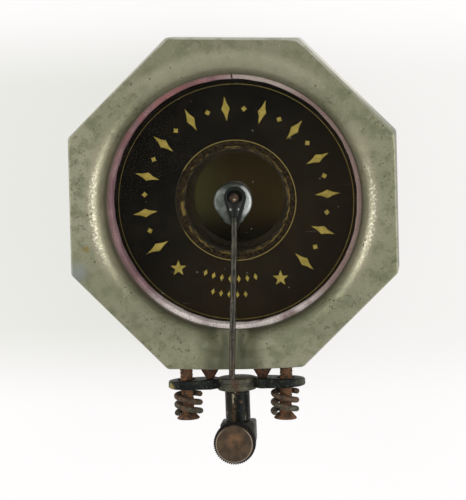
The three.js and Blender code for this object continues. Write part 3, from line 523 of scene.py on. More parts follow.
def nickel_material():
    s = Surface("aged_nickel_and_painted_light_looks", 0.55)
    middle, fine = s.noise(2.6, 4), s.noise(0.6, 4)
    nickel_tone(s, middle, fine)
    nickel_funnel(s)
    channel_shade = nickel_channel(s, middle)
    pits = s.both(s.step(s.cells(1.3), 0.24, 0.1), s.patches(4, 3, 0.54, 0.6))
    s.tint(pits, (70, 66, 44), 0.75)
    s.tint(s.step(s.away((-31.4, -13.4, FACE_Z)), 3.2, 0.6), (128, 135, 134), 0.6)
    from_stain = s.plus(s.away((-29.5, -8.8, FACE_Z)), s.wander(1.3, 4, -1.2, 1.2))
    s.tint(s.step(from_stain, 0.85, 0.3), (128, 110, 58), 0.7)
    edge = nickel_edges(s)
    rough = s.blend(s.step(s.radius(), 29.2, 30), (166, 166, 166), (184, 184, 184))
    rough = s.minus(s.plus(rough, s.wander(1.8, 4, -0.1, 0.1)), s.scale(edge, 0, 0.12))
    bumps = [(s.noise(5, 2), 0.12), (fine, 0.05), (pits, -0.05), (middle, 0.07)]
    return s.finish(s.plus(rough, s.scale(channel_shade, 0, 0.2)), bumps)


def plate_material():
    s = Surface("plate_metal_looks", 0.6)
    lines = s.noise(0.4, 2, (1, 0.04, 1))
    s.start(s.patches(9, 3, 0.35, 0.65), (122, 119, 98), (140, 137, 118))
    s.tint(s.patches(2.2, 4, 0.55, 0.7), (88, 80, 58), 0.6)
    s.tint(lines, (168, 166, 150), 0.25)
    ragged = s.blend(s.patches(1.3, 4, 0.48, 0.6), (30, 25, 15), (92, 76, 42))
    s.tint(s.step(s.radius(), 12, 11.6), ragged, 0.95)
    return s.finish(s.wander(1.4, 4, 0.36, 0.6), [(s.noise(4, 2), 0.08), (lines, 0.015)])


def black_rubber_material():
    s = Surface("black_rubber_looks", 0.0, 0.3)
    s.start(s.patches(6, 3, 0.35, 0.65), (38, 35, 31), (58, 54, 48))
    s.tint(s.patches(1.1, 4, 0.5, 0.75), (26, 23, 20), 0.6)
    return s.finish(s.wander(0.8, 3, 0.6, 0.85), [(s.noise(0.3, 3), 0.08)])


def gasket_material():
    s = Surface("pink_rubber_looks", 0.0, 0.2)
    grain = s.noise(0.3, 4)
    s.start(s.patches(5, 3, 0.38, 0.62), (122, 94, 96), (146, 116, 118))
    s.tint(s.step(s.x, 0, 18), (152, 136, 122), 0.5)
    s.tint(s.both(s.step(s.y, 20, 24), s.step(s.x, -4, 2)), (186, 174, 166), 0.8)
    red = s.both(s.step(s.y, 6, 16), s.step(s.x, 0, -4), s.patches(3, 3, 0.36, 0.56))
    s.tint(red, (148, 86, 82), 0.5)
    s.tint(s.both(s.step(s.y, -16, -23), s.patches(4, 2, 0.25, 0.5)), (236, 226, 220), 0.85)
    s.tint(s.step(grain, 0.48, 0.66), (98, 72, 74), 0.5)
    return s.finish(s.wander(0.8, 3, 0.6, 0.85), [(grain, 0.06), (s.noise(1.6, 2), 0.1)])


def label_material():
    s = Surface("printed_black_and_painted_reflection_looks", 0.0, 0.05)
    radius = s.radius()
    # Black print with a painted reflection in the mica: browner towards the lower right
    s.start(s.step(s.minus(s.x, s.y), -12, 16), (5, 5, 3), (32, 25, 13))
    s.tint(s.patches(4, 4, 0.42, 0.66), (24, 19, 12), 0.6)
    ring = s.blend(s.patches(0.6, 4, 0.42, 0.62), (20, 15, 8), (54, 43, 23))
    s.tint(s.step(radius, 12.1, 11.9), ring, 0.9)
    ragged = s.plus(radius, s.wander(1.1, 4, -0.4, 0.4))
    broken = s.both(s.step(s.x, 0, 8), s.scale(s.patches(0.9, 3, 0.4, 0.54), 0.25, 1))
    line = s.both(s.step(ragged, 10.7, 10.8), s.step(ragged, 11.05, 10.95),
                  s.either(broken, s.patches(3, 2, 0.5, 0.6)))
    bit = s.both(s.step(s.away((-10.9, -1.6, DISC_HIGH.z)), 1.6, 1.2), s.step(radius, 11.3, 11.15))
    s.tint(s.both(s.either(line, bit), s.scale(s.step(s.y, 4, 9), 0.85, 0.5)), (122, 102, 54))
    specks = s.both(s.step(s.cells(2.2), 0.06, 0.03), s.patches(3, 2, 0.5, 0.56))
    s.tint(specks, (120, 118, 108), 0.8)
    return s.finish(s.wander(1.6, 3, 0.4, 0.6), [(s.noise(0.6, 3), 0.02)])


def gold_material():
    s = Surface("gold_paint_looks", 0.25, 0.3)
    s.start(s.patches(1.2, 3, 0.35, 0.65), (158, 140, 58), (182, 162, 76))
    s.tint(s.patches(0.35, 3, 0.56, 0.7), (74, 62, 30), 0.7)
    outer, inner = s.step(s.radius(), 23.2, 23.5), s.step(s.radius(), 12.8, 12.6)
    s.tint(s.both(outer, s.scale(s.step(s.x, 4, -12), 0.45, 0.75)), (84, 74, 36))
    s.tint(inner, (138, 120, 72), 0.6)
    ragged = s.plus(s.x, s.wander(2, 3, -1.5, 1.5))
    s.tint(s.both(inner, s.step(ragged, -10.2, -11)), (26, 21, 12), 0.92)
    return s.finish(s.wander(0.7, 3, 0.4, 0.6), [(s.noise(0.25, 3), 0.02)])


def mica_material():
    """Clear film with faint haze, specks and scratches."""
    s = Surface("mica_looks", 0.0, 0.3)
    specks = s.both(s.step(s.cells(2.6), 0.07, 0.04), s.patches(4, 2, 0.52, 0.57))
    scratches = s.step(s.noise(0.5, 2, (0.08, 1, 1)), 0.74, 0.78)
    marks = s.either(specks, s.scale(scratches, 0, 0.5))
    s.start(s.patches(12, 3, 0.35, 0.7), (40, 38, 30), (60, 52, 36))
    s.tint(marks, (170, 168, 158))
    cover = s.either(s.wander(7, 3, 0.02, 0.08), s.scale(marks, 0, 0.6))
    fill(s.tree, s.shader.inputs["Alpha"], cover)
    return s.finish(s.wander(3, 3, 0.08, 0.16), [(s.noise(9, 2), 0.05)])


def rust_material(name, bright, middle, dark, metallic=0.25, glint=None):
    s = Surface(name, metallic)
    s.start(s.patches(1.1, 4, 0.35, 0.62), dark, middle)
    s.tint(s.patches(0.5, 4, 0.5, 0.68), bright, 0.85)
    if glint:
        s.tint(s.step(s.away(glint), 0.45, 0.1), (176, 156, 130), 0.75)
    grain = s.noise(0.22, 4)
    return s.finish(s.scale(grain, 0.65, 0.95), [(grain, 0.05), (s.noise(0.7, 3), 0.08)])


def spring_material():
    s = Surface("spring_steel_looks", 0.3)
    rust = s.blend(s.patches(0.8, 4, 0.38, 0.62), (56, 40, 26), (96, 66, 42))
    bare = s.blend(s.patches(0.7, 4, 0.4, 0.6), (50, 50, 40), (84, 80, 62))
    lower = s.scale(s.step(s.y, -39.4, -41.4), 0.3, 1)
    s.start(s.both(lower, s.patches(1.4, 3, 0.3, 0.5)), rust, bare)
    s.tint(s.patches(0.3, 3, 0.6, 0.7), (34, 28, 18), 0.6)
    return s.finish(s.wander(0.4, 4, 0.5, 0.85), [(s.noise(0.25, 4), 0.05)])


def lacquer_material():
    s = Surface("black_lacquer_looks", 0.2, 0.2)
    chips = s.patches(0.55, 4, 0.6, 0.66)
    s.start(s.patches(2, 3, 0.35, 0.65), (7, 11, 9), (23, 28, 23))
    s.tint(chips, (80, 78, 62), 0.6)
    s.tint(s.patches(1.4, 4, 0.58, 0.7), (60, 56, 40), 0.6)
    tip = s.step(s.off(s.x), BAR_HALF - 2.4, BAR_HALF - 0.4)
    s.tint(s.both(tip, s.patches(1.2, 3, 0.38, 0.56)), (78, 80, 66), 0.6)
    brass = s.step(s.away((-BAR_HALF + 0.7, BAR_BOTTOM_Y + 0.3, ROCKER_Z + 2)), 1.2, 0.5)
    s.tint(s.both(brass, s.patches(0.8, 3, 0.34, 0.5)), (128, 116, 62))
    bumps = [(s.noise(0.6, 4), 0.06), (chips, -0.03), (s.noise(2, 3), 0.12)]
    return s.finish(s.wander(1, 4, 0.32, 0.62), bumps)


def boss_material():
    s = Surface("worn_boss_looks", 0.4)
    s.start(s.patches(1.6, 4, 0.36, 0.62), (42, 41, 30), (72, 69, 52))
    smear = s.step(s.off(s.plus(s.x, s.wander(1, 3, -0.5, 0.5)), 0.1), 1.1, 0.5)
    s.tint(s.both(smear, s.patches(1, 3, 0.3, 0.5)), (72, 50, 32), 0.85)
    s.tint(s.patches(0.4, 3, 0.6, 0.7), (112, 108, 86), 0.5)
    return s.finish(s.wander(0.8, 4, 0.38, 0.7), [(s.noise(0.5, 4), 0.05)])


def stem_material():
    s = Surface("worn_stem_and_painted_highlight_looks", 0.45, 0.2)
    x = s.plus(s.x, s.wander(1.2, 3, -0.4, 0.4))
    s.start(s.step(x, -0.2, 0.7), (32, 29, 20), (12, 17, 15))
    worn = s.both(s.step(s.off(x, -0.3), 0.5, 0.2), s.patches(0.9, 4, 0.42, 0.54))
    s.tint(worn, (84, 62, 42), 0.6)
    # Painted highlight on the worn strip's upper part
    s.tint(s.both(worn, s.step(s.y, -40.9, -40.1)), (158, 150, 128), 0.8)
    s.tint(s.patches(0.8, 4, 0.56, 0.66), (84, 62, 40), 0.6)
    bare = s.both(s.step(s.cells(0.9), 0.26, 0.12), s.patches(1.6, 2, 0.5, 0.58))
    s.tint(bare, (132, 132, 116), 0.7)
    return s.finish(s.wander(0.8, 4, 0.3, 0.58), [(s.noise(0.5, 4), 0.05)])


def steel_material(name, metallic, size, rough, dark, light, worn):
    s = Surface(name, metallic)
    s.start(s.patches(size, 4, 0.36, 0.64), dark, light)
    s.tint(s.patches(size / 3, 3, 0.56, 0.68), worn, 0.7)
    bumps = [(s.noise(size / 3, 3), 0.03), (s.noise(size * 2, 2), 0.05)]
    return s.finish(s.wander(size / 2, 4, *rough), bumps)


def copper_material():
    s = Surface("copper_brown_looks", 0.5)
    grain, middle = s.noise(0.3, 4), s.away((0, THUMB_Y, HEAD_HIGH.z))
    s.start(s.patches(1.6, 4, 0.35, 0.65), (58, 45, 32), (80, 62, 43))
    warm = s.step(s.away((0.2, THUMB_Y + 0.8, HEAD_HIGH.z)), 2.2, 0.4)
    s.tint(s.both(warm, s.patches(1.3, 4, 0.35, 0.6)), (124, 88, 56), 0.7)
    s.tint(s.step(grain, 0.5, 0.72), (60, 48, 34), 0.5)
    rim = s.both(s.step(middle, 3.48, 3.56), s.step(middle, 3.72, 3.64),
                 s.step(s.y, THUMB_Y + 3.4, THUMB_Y + 2.2))
    s.tint(rim, (158, 146, 130), 0.75)
    # Knurled side made very dark: partly its own dark tone, partly painted shade
    side = s.step(middle, 3.74, 3.9)
    s.tint(side, (17, 14, 9), 0.96)
    rough = s.plus(s.wander(1, 4, 0.4, 0.65), s.scale(side, 0, 0.3))
    return s.finish(rough, [(grain, 0.03), (s.noise(1.4, 3), 0.06)])


def brass_material():
    s = Surface("brass_looks", 0.75)
    lines = s.noise(0.35, 2, (0.05, 0.05, 1))
    s.start(s.patches(4, 3, 0.35, 0.65), (132, 114, 66), (152, 132, 82))
    s.tint(s.patches(1.6, 4, 0.52, 0.68), (86, 72, 44), 0.7)
    s.tint(lines, (176, 158, 104), 0.25)
    # Painted shade inside the socket's bore
    s.tint(s.both(s.step(s.radius(), 10.9, 10.6), s.step(s.z, 2, 7)), (20, 17, 10), 0.9)
    return s.finish(s.wander(1.2, 4, 0.28, 0.55), [(lines, 0.02), (s.noise(3, 2), 0.04)])


def washer_material():
    s = Surface("washer_grey_looks", 0.55)
    x, y, grain = s.minus(s.x, WASHER_X), s.minus(s.y, HUB_Y), s.noise(0.4, 4)
    s.start(s.patches(1.2, 4, 0.36, 0.64), (78, 84, 77), (122, 126, 121))
    # Painted highlight: a bright crescent at the right of the dished washer
    s.tint(s.both(s.step(x, 1.2, 2.2), s.step(y, 2.9, 1.9), s.step(y, -4.2, -2.6)), (184, 188, 186), 0.85)
    # Painted shade: dark green at the top and the lower left
    low = s.both(s.step(y, -1.2, -3.6), s.step(x, 2.4, 1.2))
    top = s.step(s.minus(y, s.both(x, 0.25)), 1.4, 2.7)
    s.tint(s.either(s.scale(low, 0, 0.7), top), (38, 46, 32), 0.9)
    s.tint(s.step(grain, 0.52, 0.7), (74, 80, 72), 0.5)
    return s.finish(s.wander(0.8, 3, 0.36, 0.55), [(grain, 0.03), (s.noise(1.6, 2), 0.05)])


def eye_material():
    s = Surface("eye_black_looks", 0.4, 0.4)
    s.start(s.patches(0.9, 4, 0.36, 0.64), (4, 7, 3), (15, 19, 10))
    # Two painted glints where the eye narrows to the rod
    for x, y in ((-0.75, HUB_Y - 2.35), (0.75, HUB_Y - 2.3)):
        s.tint(s.step(s.away((x, y, ARM_EYE_HIGH)), 0.36, 0.12), (150, 156, 152), 0.75)
    return s.finish(s.wander(0.8, 4, 0.3, 0.5), [(s.noise(0.4, 4), 0.04), (s.noise(1.4, 2), 0.08)])


def rod_material():
    s = Surface("rod_steel_looks", 0.6)
    lines = s.noise(0.28, 3, (1, 0.05, 1))
    s.start(s.step(lines, 0.38, 0.62), (28, 26, 21), (74, 70, 60))
    s.tint(s.both(s.step(s.y, -22, -30), s.patches(1, 3, 0.42, 0.58)), (66, 52, 38), 0.6)
    s.tint(s.patches(0.5, 4, 0.6, 0.7), (116, 110, 96), 0.6)
    s.tint(s.step(s.y, -4.9, -3.6), (36, 39, 31), 0.8)
    return s.finish(s.wander(0.8, 4, 0.34, 0.58), [(lines, 0.03), (s.noise(1.4, 3), 0.05)])


# Mesh helpers

def new_object(name, shape, weld):
    """Makes an object of points and faces in millimetres, with its faces turned outwards."""
    points, faces = shape
    mesh = bpy.data.meshes.new(name)
    mesh.from_pydata([Vector(point) * MM for point in points], [], faces)
    work = bmesh.new()
    work.from_mesh(mesh)
    if weld:
        bmesh.ops.remove_doubles(work, verts=work.verts, dist=WELD)
    bmesh.ops.recalc_face_normals(work, faces=work.faces)
    work.to_mesh(mesh)
    work.free()
    made = bpy.data.objects.new(name, mesh)
    bpy.context.scene.collection.objects.link(made)
    return made


def piece(name, shape, material, body, nodes=(), crease=CREASE, carved=()):
    """Makes a piece, smooth where its faces meet at less than the crease, with closed shapes carved out."""
    made = new_object(name, shape, True)
    if carved:
        carve(made, carved)
    made.data.shade_smooth()
    made.data.set_sharp_from_angle(angle=math.radians(crease))
    made.data.materials.append(material)
    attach(made, body)
    if nodes:
        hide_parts(*nodes)


def carve(made, shapes):
    """Cuts closed shapes out of a piece."""
    cutters = [new_object("cutter", shape, False) for shape in shapes]
    for cutter in cutters:
        change = made.modifiers.new("carve", "BOOLEAN")
        change.operation = "DIFFERENCE"
        change.solver = "EXACT"
        change.object = cutter
    seen = made.evaluated_get(bpy.context.evaluated_depsgraph_get())
    made.data = bpy.data.meshes.new_from_object(seen)
    made.modifiers.clear()
    for cutter in cutters:
        bpy.data.objects.remove(cutter)


def loft(rings, closed=False):
    """Skin through rings of equally many points: capped at both ends, or closed on itself."""
    count = len(rings[0])
    points = [point for ring in rings for point in ring]
    faces = []
    for k in range(len(rings) if closed else len(rings) - 1):
        first, second = k * count, (k + 1) % len(rings) * count
        for i in range(count):
            j = (i + 1) % count
            faces.append((first + i, first + j, second + j, second + i))
    if not closed:
        faces.append(tuple(range(count - 1, -1, -1)))
        faces.append(tuple((len(rings) - 1) * count + i for i in range(count)))
    return points, faces


def polar(radius, angle):
    """Place in a plane at a distance and direction from its origin."""
    return radius * math.cos(angle), radius * math.sin(angle)


def all_round(count):
    """Directions at equal steps round a circle."""
    return [2 * math.pi * i / count for i in range(count)]


def turned(profile, sides, axis="z", centre=(0, 0, 0), closed=False):
    """Profile of (radius, height) points turned round an axis through the centre."""
    rings = []
    for radius, height in profile:
        ring = [polar(max(radius, AXIS_RADIUS), angle) for angle in all_round(sides)]
        ring = [(a, b, height) if axis == "z" else (a, height, b) for a, b in ring]
        rings.append([tuple(part + shift for part, shift in zip(point, centre)) for point in ring])
    return loft(rings, closed)


def peg(radius, low, high, sides, axis, centre):
    """Plain round cutter."""
    return turned([(0, low), (radius, low), (radius, high), (0, high)], sides, axis, centre)


def arc(centre, radius, start, end, steps=5):
    """Points of an arc in a profile, with its angles in degrees."""
    points = [polar(radius, math.radians(start + (end - start) * i / steps)) for i in range(steps + 1)]
    return [(centre[0] + across, centre[1] + up) for across, up in points]


def box(low, high):
    corners = [(x, y, z) for z in (low[2], high[2]) for y in (low[1], high[1]) for x in (low[0], high[0])]
    return corners, [(0, 2, 3, 1), (4, 5, 7, 6), (0, 1, 5, 4), (2, 6, 7, 3), (0, 4, 6, 2), (1, 3, 7, 5)]


def waver(seed, place, size, depth):
    """A small smooth wander at a place."""
    return depth * noise.noise(Vector(place) / size + Vector((seed, seed, seed)))


def held(value):
    """A value kept between 0 and 1."""
    return min(max(value, 0), 1)


# Case

def meeting(first, second, inset):
    """Where two of the case's sides meet when both are moved in."""
    (a, reach_a), (b, reach_b) = first, second
    sine = math.sin(b - a)
    x = ((reach_a - inset) * math.sin(b) - (reach_b - inset) * math.sin(a)) / sine
    y = ((reach_b - inset) * math.cos(a) - (reach_a - inset) * math.cos(b)) / sine
    return x, y


def case_corner(index, inset):
    """Centre and radius of one corner's rounding, and the directions where it starts and ends."""
    first, second = SIDES[index % 8], SIDES[(index + 1) % 8]
    rounding = max(CORNER_RADIUS - inset, CORNER_LEAST)
    x, y = meeting(first, second, inset + rounding)
    directions = []
    for angle, _ in (first, second):
        directions.append(math.atan2(y + rounding * math.sin(angle), x + rounding * math.cos(angle)))
    return x, y, rounding, directions


def case_reach(angle, inset):
    """Distance from the axis to the case's outline in one direction."""
    for index in range(8):
        x, y, rounding, (start, end) = case_corner(index, inset)
        if (angle - start) % (2 * math.pi) <= (end - start) % (2 * math.pi):
            along = x * math.cos(angle) + y * math.sin(angle)
            across = x * math.sin(angle) - y * math.cos(angle)
            return along + math.sqrt(max(rounding ** 2 - across ** 2, 0))
    side = min(SIDES, key=lambda s: (s[1] - inset) / max(math.cos(angle - s[0]), 1e-6))
    return (side[1] - inset) / math.cos(angle - side[0])


def case_angles():
    """Directions round the case, closer together at its corners and along its lower side."""
    angles = []
    for index in range(8):
        start = case_corner(index - 1, 0)[3][1]
        leave, arrive = case_corner(index, 0)[3]
        count = LOWEST_SIDE_STEPS if index == LOWEST_SIDE else SIDE_STEPS
        sweep = (leave - start) % (2 * math.pi)
        angles += [start + sweep * i / count for i in range(count + 1)]
        sweep = (arrive - leave) % (2 * math.pi)
        angles += [leave + sweep * i / CORNER_STEPS for i in range(1, CORNER_STEPS)]
    return angles


def face_height(radius):
    inward = held((WINDOW_RADIUS + FUNNEL_WIDTH - radius) / FUNNEL_WIDTH)
    return FACE_Z - FUNNEL_DEPTH * (1 - math.sqrt(1 - inward ** 2))


def channel_share(x):
    """1 in the middle of the pressed channel, falling to 0 beside it."""
    return math.exp(-2 * ((x - CHANNEL_X) / CHANNEL_HALF) ** 2)


def channel_dip(x, y):
    if y > 0:
        return 0
    along = held((-y - WINDOW_RADIUS) / (CASE_HALF - WINDOW_RADIUS))
    floor = FACE_Z - CHANNEL_AT_WINDOW - (CHANNEL_AT_EDGE - CHANNEL_AT_WINDOW) * along
    return channel_share(x) * max(face_height(math.hypot(x, y)) - floor, 0)


def edge_roll(angle):
    """Width of the rounded edge round the face, wider at the top and at the corners there."""
    upper = max(math.cos(angle - TOP_ROLL_DIRECTION), 0)
    corner = math.exp(-((math.degrees(angle) % 45 - 22.5) / CORNER_ROLL_WIDTH) ** 2)
    return EDGE_ROLL + TOP_ROLL * upper ** 2 + CORNER_ROLL * upper * corner


def bottom_bow(x, y):
    """How far the lower side bulges out at a place."""
    bulge = BOTTOM_BOW * max(1 - ((x - BOTTOM_BOW_X) / BOTTOM_BOW_HALF) ** 2, 0)
    return held((-y - BOTTOM_BOW_FROM) / BOTTOM_BOW_FADE) * (bulge + CHANNEL_BOW * channel_share(x))


def level_ring(angles, reach_of, z):
    """Points round the case at one height, with the reach that a function gives for each direction."""
    ring = [polar(reach_of(angle), angle) for angle in angles]
    return [(x, y - bottom_bow(x, y), z) for x, y in ring]


def face_ring(angles, reach_of, drop_of):
    """Points round the face or below it, with the reach and the drop that functions give."""
    ring = []
    for angle in angles:
        radius = reach_of(angle)
        x, y = polar(radius, angle)
        z = face_height(radius) - channel_dip(x, y) - drop_of(angle) + waver(3, (x, y, 0), 9, 0.035)
        ring.append((x, y - bottom_bow(x, y), min(z, FACE_Z)))
    return ring


def bezel_shape():
    """Closed skin, from the cavity over the window's edge, funnel, face and rounded edge to the back."""
    angles, lip, start = case_angles(), GASKET_HIGH.z, WINDOW_RADIUS + FUNNEL_WIDTH
    rings = [level_ring(angles, lambda a, r=radius: r, z) for radius, z in (
        (CAVITY_RADIUS, BEZEL_Z), (CAVITY_RADIUS, lip), (WINDOW_RADIUS + WINDOW_BREAK, lip),
        (WINDOW_RADIUS, lip + WINDOW_BREAK))]
    for i in range(FUNNEL_STEPS + 1):
        share = math.cos(math.pi / 2 * (1 - i / FUNNEL_STEPS))
        radius = WINDOW_RADIUS + FUNNEL_WIDTH * (1 - math.sqrt(max(1 - share ** 2, 0)))
        rings.append(face_ring(angles, lambda a, r=radius: r, lambda a: 0))
    for i in range(1, FACE_STEPS):
        share = i / FACE_STEPS
        rings.append(face_ring(angles, lambda a, s=share: start + (case_reach(a, edge_roll(a)) - start) * s,
                               lambda a: 0))
    for i in range(ROLL_STEPS + 1):
        turn = math.pi / 2 * i / ROLL_STEPS
        inward, down = 1 - math.sin(turn), 1 - math.cos(turn)
        rings.append(face_ring(angles, lambda a, s=inward: case_reach(a, edge_roll(a) * s),
                               lambda a, s=down: edge_roll(a) * s))
    rings.append(level_ring(angles, lambda a: case_reach(a, 0), BEZEL_Z + BACK_EDGE_RISE))
    rings.append(level_ring(angles, lambda a: case_reach(a, BACK_EDGE_INSET), BEZEL_Z))
    return loft(rings, closed=True)


def gasket_shape(low, high, seed):
    """Soft ring with two cut ends at the top, a little uneven along its inner edge."""
    corner, wide = GASKET_CORNER, GASKET_OUTER - GASKET_INNER
    near, far = GASKET_INNER + corner, GASKET_OUTER - corner
    section = (arc((near, high - corner), corner, 180, 90) + arc((far, high - corner), corner, 90, 0) +
               arc((far, low + corner), corner, 0, -90) + arc((near, low + corner), corner, -90, -180))
    half_gap = GASKET_JOINT / 2 / GASKET_INNER
    rings = []
    for i in range(GASKET_STEPS + 1):
        angle = math.pi / 2 + half_gap + (2 * math.pi - 2 * half_gap) * i / GASKET_STEPS
        ring = []
        for radius, height in section:
            place = (*polar(radius, angle), height)
            loose = (GASKET_OUTER - radius) / wide
            radius += loose * (waver(seed, place, 2.2, 0.12) + waver(seed, place, 9, 0.1))
            skew = 0.012 * (radius - GASKET_INNER) / wide if i in (0, GASKET_STEPS) else 0
            lift = waver(seed + 5, place, 3, 0.04) if height > (low + high) / 2 else 0
            ring.append((*polar(radius, angle + skew), min(height + lift, high)))
        rings.append(ring)
    return loft(rings)


def disc_shape():
    """Thin printed disc with a slightly ragged edge round the throat."""
    top, bottom = DISC_HIGH.z, DISC_LOW.z
    angles = all_round(240)
    ragged = [DISC_HOLE + abs(waver(11, (*polar(DISC_HOLE, angle), 0), 1.4, 0.35)) for angle in angles]
    rings = [[(*polar(reach, angle), z) for reach, angle in zip(ragged, angles)] for z in (bottom, top)]
    for radius, z in ((DISC_RAGGED, top), (GASKET_OUTER, top), (GASKET_OUTER, bottom)):
        rings.append([(*polar(radius, angle), z) for angle in angles])
    return loft(rings, closed=True)


def mica_shape():
    low, high, inner = MICA_LOW.z, MICA_HIGH.z, MICA_RADIUS - MICA_EDGE
    profile = [(MICA_HOLE, low), (inner, low), (MICA_RADIUS, low + MICA_EDGE),
               (MICA_RADIUS, high - MICA_EDGE), (inner, high), (MICA_HOLE, high)]
    return turned(profile, 160, closed=True)


def add_case():
    rubber = gasket_material()
    front = gasket_shape(GASKET_LOW.z, GASKET_HIGH.z, 1)
    rear = gasket_shape(REAR_GASKET_LOW.z, REAR_GASKET_HIGH.z, 2)
    piece("bezel", bezel_shape(), nickel_material(), "case", ["front_bezel"], 40)
    piece("front_gasket_ring", front, rubber, "case", ["front_gasket"])
    piece("rear_gasket_ring", rear, rubber, "case", ["rear_gasket"])
    piece("label_disc", disc_shape(), label_material(), "case", ["printed_disc"])
    piece("mica_disc", mica_shape(), mica_material(), "case", ["diaphragm"])
    dress(["back_plate"], plate_material(), 0.12)


# Gold print on the disc

def add_print():
    gold = gold_material()
    low, high = DISC_HIGH.z - GOLD_BELOW, DISC_HIGH.z + GOLD_ABOVE
    for name, (radius, width, down) in GOLD_RINGS.items():
        inner, outer = radius - width / 2, radius + width / 2
        profile = [(inner, low), (inner, high), (outer, high), (outer, low)]
        piece(name, turned(profile, 240, centre=(0, -down, 0), closed=True), gold, "case")
    flats = [star_outline(radius, turn) for turn, radius in STAR_PLACES]
    apart = (ORNAMENT_TO - ORNAMENT_FROM) / (ORNAMENT_COUNT - 1)
    for i in range(ORNAMENT_COUNT):
        turn = ORNAMENT_FROM + (ORNAMENT_TO - ORNAMENT_FROM) * i / (ORNAMENT_COUNT - 1)
        flats.append(lozenge_outline(ORNAMENT_RADIUS, turn, ORNAMENT_HALF_LENGTH, ORNAMENT_HALF_WIDTH))
        if i:
            flats.append(lozenge_outline(ORNAMENT_RADIUS, turn - apart / 2, DOT_HALF, DOT_HALF))
    for radius, count, step, half_length in SMALL_ROWS:
        for i in range(count):
            turn = SMALL_ROW_MIDDLE + step * (i - (count - 1) / 2)
            flats.append(lozenge_outline(radius, turn, half_length, SMALL_HALF_WIDTH))
    points, faces = [], []
    for outline in flats:
        shape = loft([[(x, y, z) for x, y in outline] for z in (low, high)])
        faces += [tuple(len(points) + corner for corner in face) for face in shape[1]]
        points += shape[0]
    piece("gold_ornament", (points, faces), gold, "case")


def placed(outline, radius, turn):
    """An outline drawn round the origin, with up away from the axis, moved out along a direction."""
    across, up = polar(1, math.radians(turn))
    return [(across * (radius + v) + up * u, up * (radius + v) - across * u) for u, v in outline]


def star_outline(radius, turn):
    outline = []
    for i in range(10):
        angle = math.pi / 2 + math.pi * i / 5 + math.radians(90 - turn)
        outline.append(polar(STAR_NOTCH if i % 2 else STAR_TIP, angle))
    return placed(outline, radius, turn)


def lozenge_outline(radius, turn, half_length, half_width):
    long, wide = half_length * LOZENGE_BULGE, half_width * LOZENGE_BULGE
    outline = [(0, half_length), (wide, long), (half_width, 0), (wide, -long),
               (0, -half_length), (-wide, -long), (-half_width, 0), (-wide, long)]
    return placed(outline, radius, turn)


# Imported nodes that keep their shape

def dress(names, material, bevel):
    """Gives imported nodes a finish, smooth shading and softened edges."""
    for name in names:
        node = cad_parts[name]
        mesh = node.data
        if "custom_normal" in mesh.attributes:
            mesh.attributes.remove(mesh.attributes["custom_normal"])
        mesh.shade_smooth()
        mesh.materials.clear()
        mesh.materials.append(material)
        weld = node.modifiers.new("weld", "WELD")
        weld.merge_threshold = NODE_WELD
        soften = node.modifiers.new("soften", "BEVEL")
        soften.width = bevel * MM
        soften.segments = 2
        soften.limit_method = "ANGLE"
        soften.angle_limit = math.radians(CREASE)
        soften.harden_normals = True


# Stylus arm and its clamp

def drop_outline(large, small, distance):
    """Points round a large circle at the origin and a small one below it, by direction from the origin."""
    lean = (large - small) / distance
    points = []
    for angle in all_round(DROP_SIDES):
        x, y = polar(1, angle)
        reach = large
        side = math.cos(math.asin(lean)) * abs(x) - lean * y
        if y < 0 < side and large / side * y < -large * lean:
            reach = large / side
            if reach * y < -distance - small * lean:
                reach = math.sqrt(max((distance * y) ** 2 - distance ** 2 + small ** 2, 0)) - distance * y
        points.append((x * reach, y * reach))
    return points


def hub_stack(outline, hole, centre, levels):
    """Closed ring between an outline and a hole, through (share towards the hole, height) levels."""
    rings = []
    for share, height in levels:
        ring = []
        for (x, y), angle in zip(outline, all_round(len(outline))):
            across, up = polar(HUB_HOLE, angle)
            ring.append((centre[0] + x + (hole[0] + across - x) * share,
                         centre[1] + y + (hole[1] + up - y) * share, height))
        rings.append(ring)
    return loft(rings, closed=True)


def bend(start, middle, end):
    """Points of a smooth bend between two places, drawn towards a third."""
    places = []
    for i in range(BEND_STEPS + 1):
        t = i / BEND_STEPS
        places.append(tuple(a * (1 - t) ** 2 + 2 * b * t * (1 - t) + c * t ** 2
                            for a, b, c in zip(start, middle, end)))
    return places


def arm_line():
    """Middle of the rod, from its foot in the boss to the eye."""
    top_y, eye_z = HUB_Y - ARM_TAPER, ARM_LOW.z + ARM_RADIUS
    ankle_y = top_y - ARM_BEND / 2
    slope = (ARM_Z - eye_z) / (-CASE_HALF - ankle_y)
    line = [(ARM_LOW.y, ARM_Z)]
    line += bend((-CASE_HALF - ARM_BEND / 4, ARM_Z), (-CASE_HALF, ARM_Z),
                 (-CASE_HALF + ARM_BEND, ARM_Z + slope * ARM_BEND))
    line += bend((ankle_y - ARM_BEND / 2, eye_z - slope * ARM_BEND / 2), (ankle_y, eye_z),
                 (top_y + 0.33 * ARM_TAPER, eye_z))
    full = []
    for (y0, z0), (y1, z1) in zip(line, line[1:]):
        steps = max(1, round(math.hypot(y1 - y0, z1 - z0) / ARM_STEP))
        full += [(y0 + (y1 - y0) * i / steps, z0 + (z1 - z0) * i / steps) for i in range(steps)]
    full.append(line[-1])
    return [Vector((ARM_FOOT_SHIFT * (HUB_Y - y) / (HUB_Y - BAR_TOP_Y), y, z)) for y, z in full]


def direction(line, i):
    """Direction of a line of places at one of them."""
    return (line[min(i + 1, len(line) - 1)] - line[max(i - 1, 0)]).normalized()


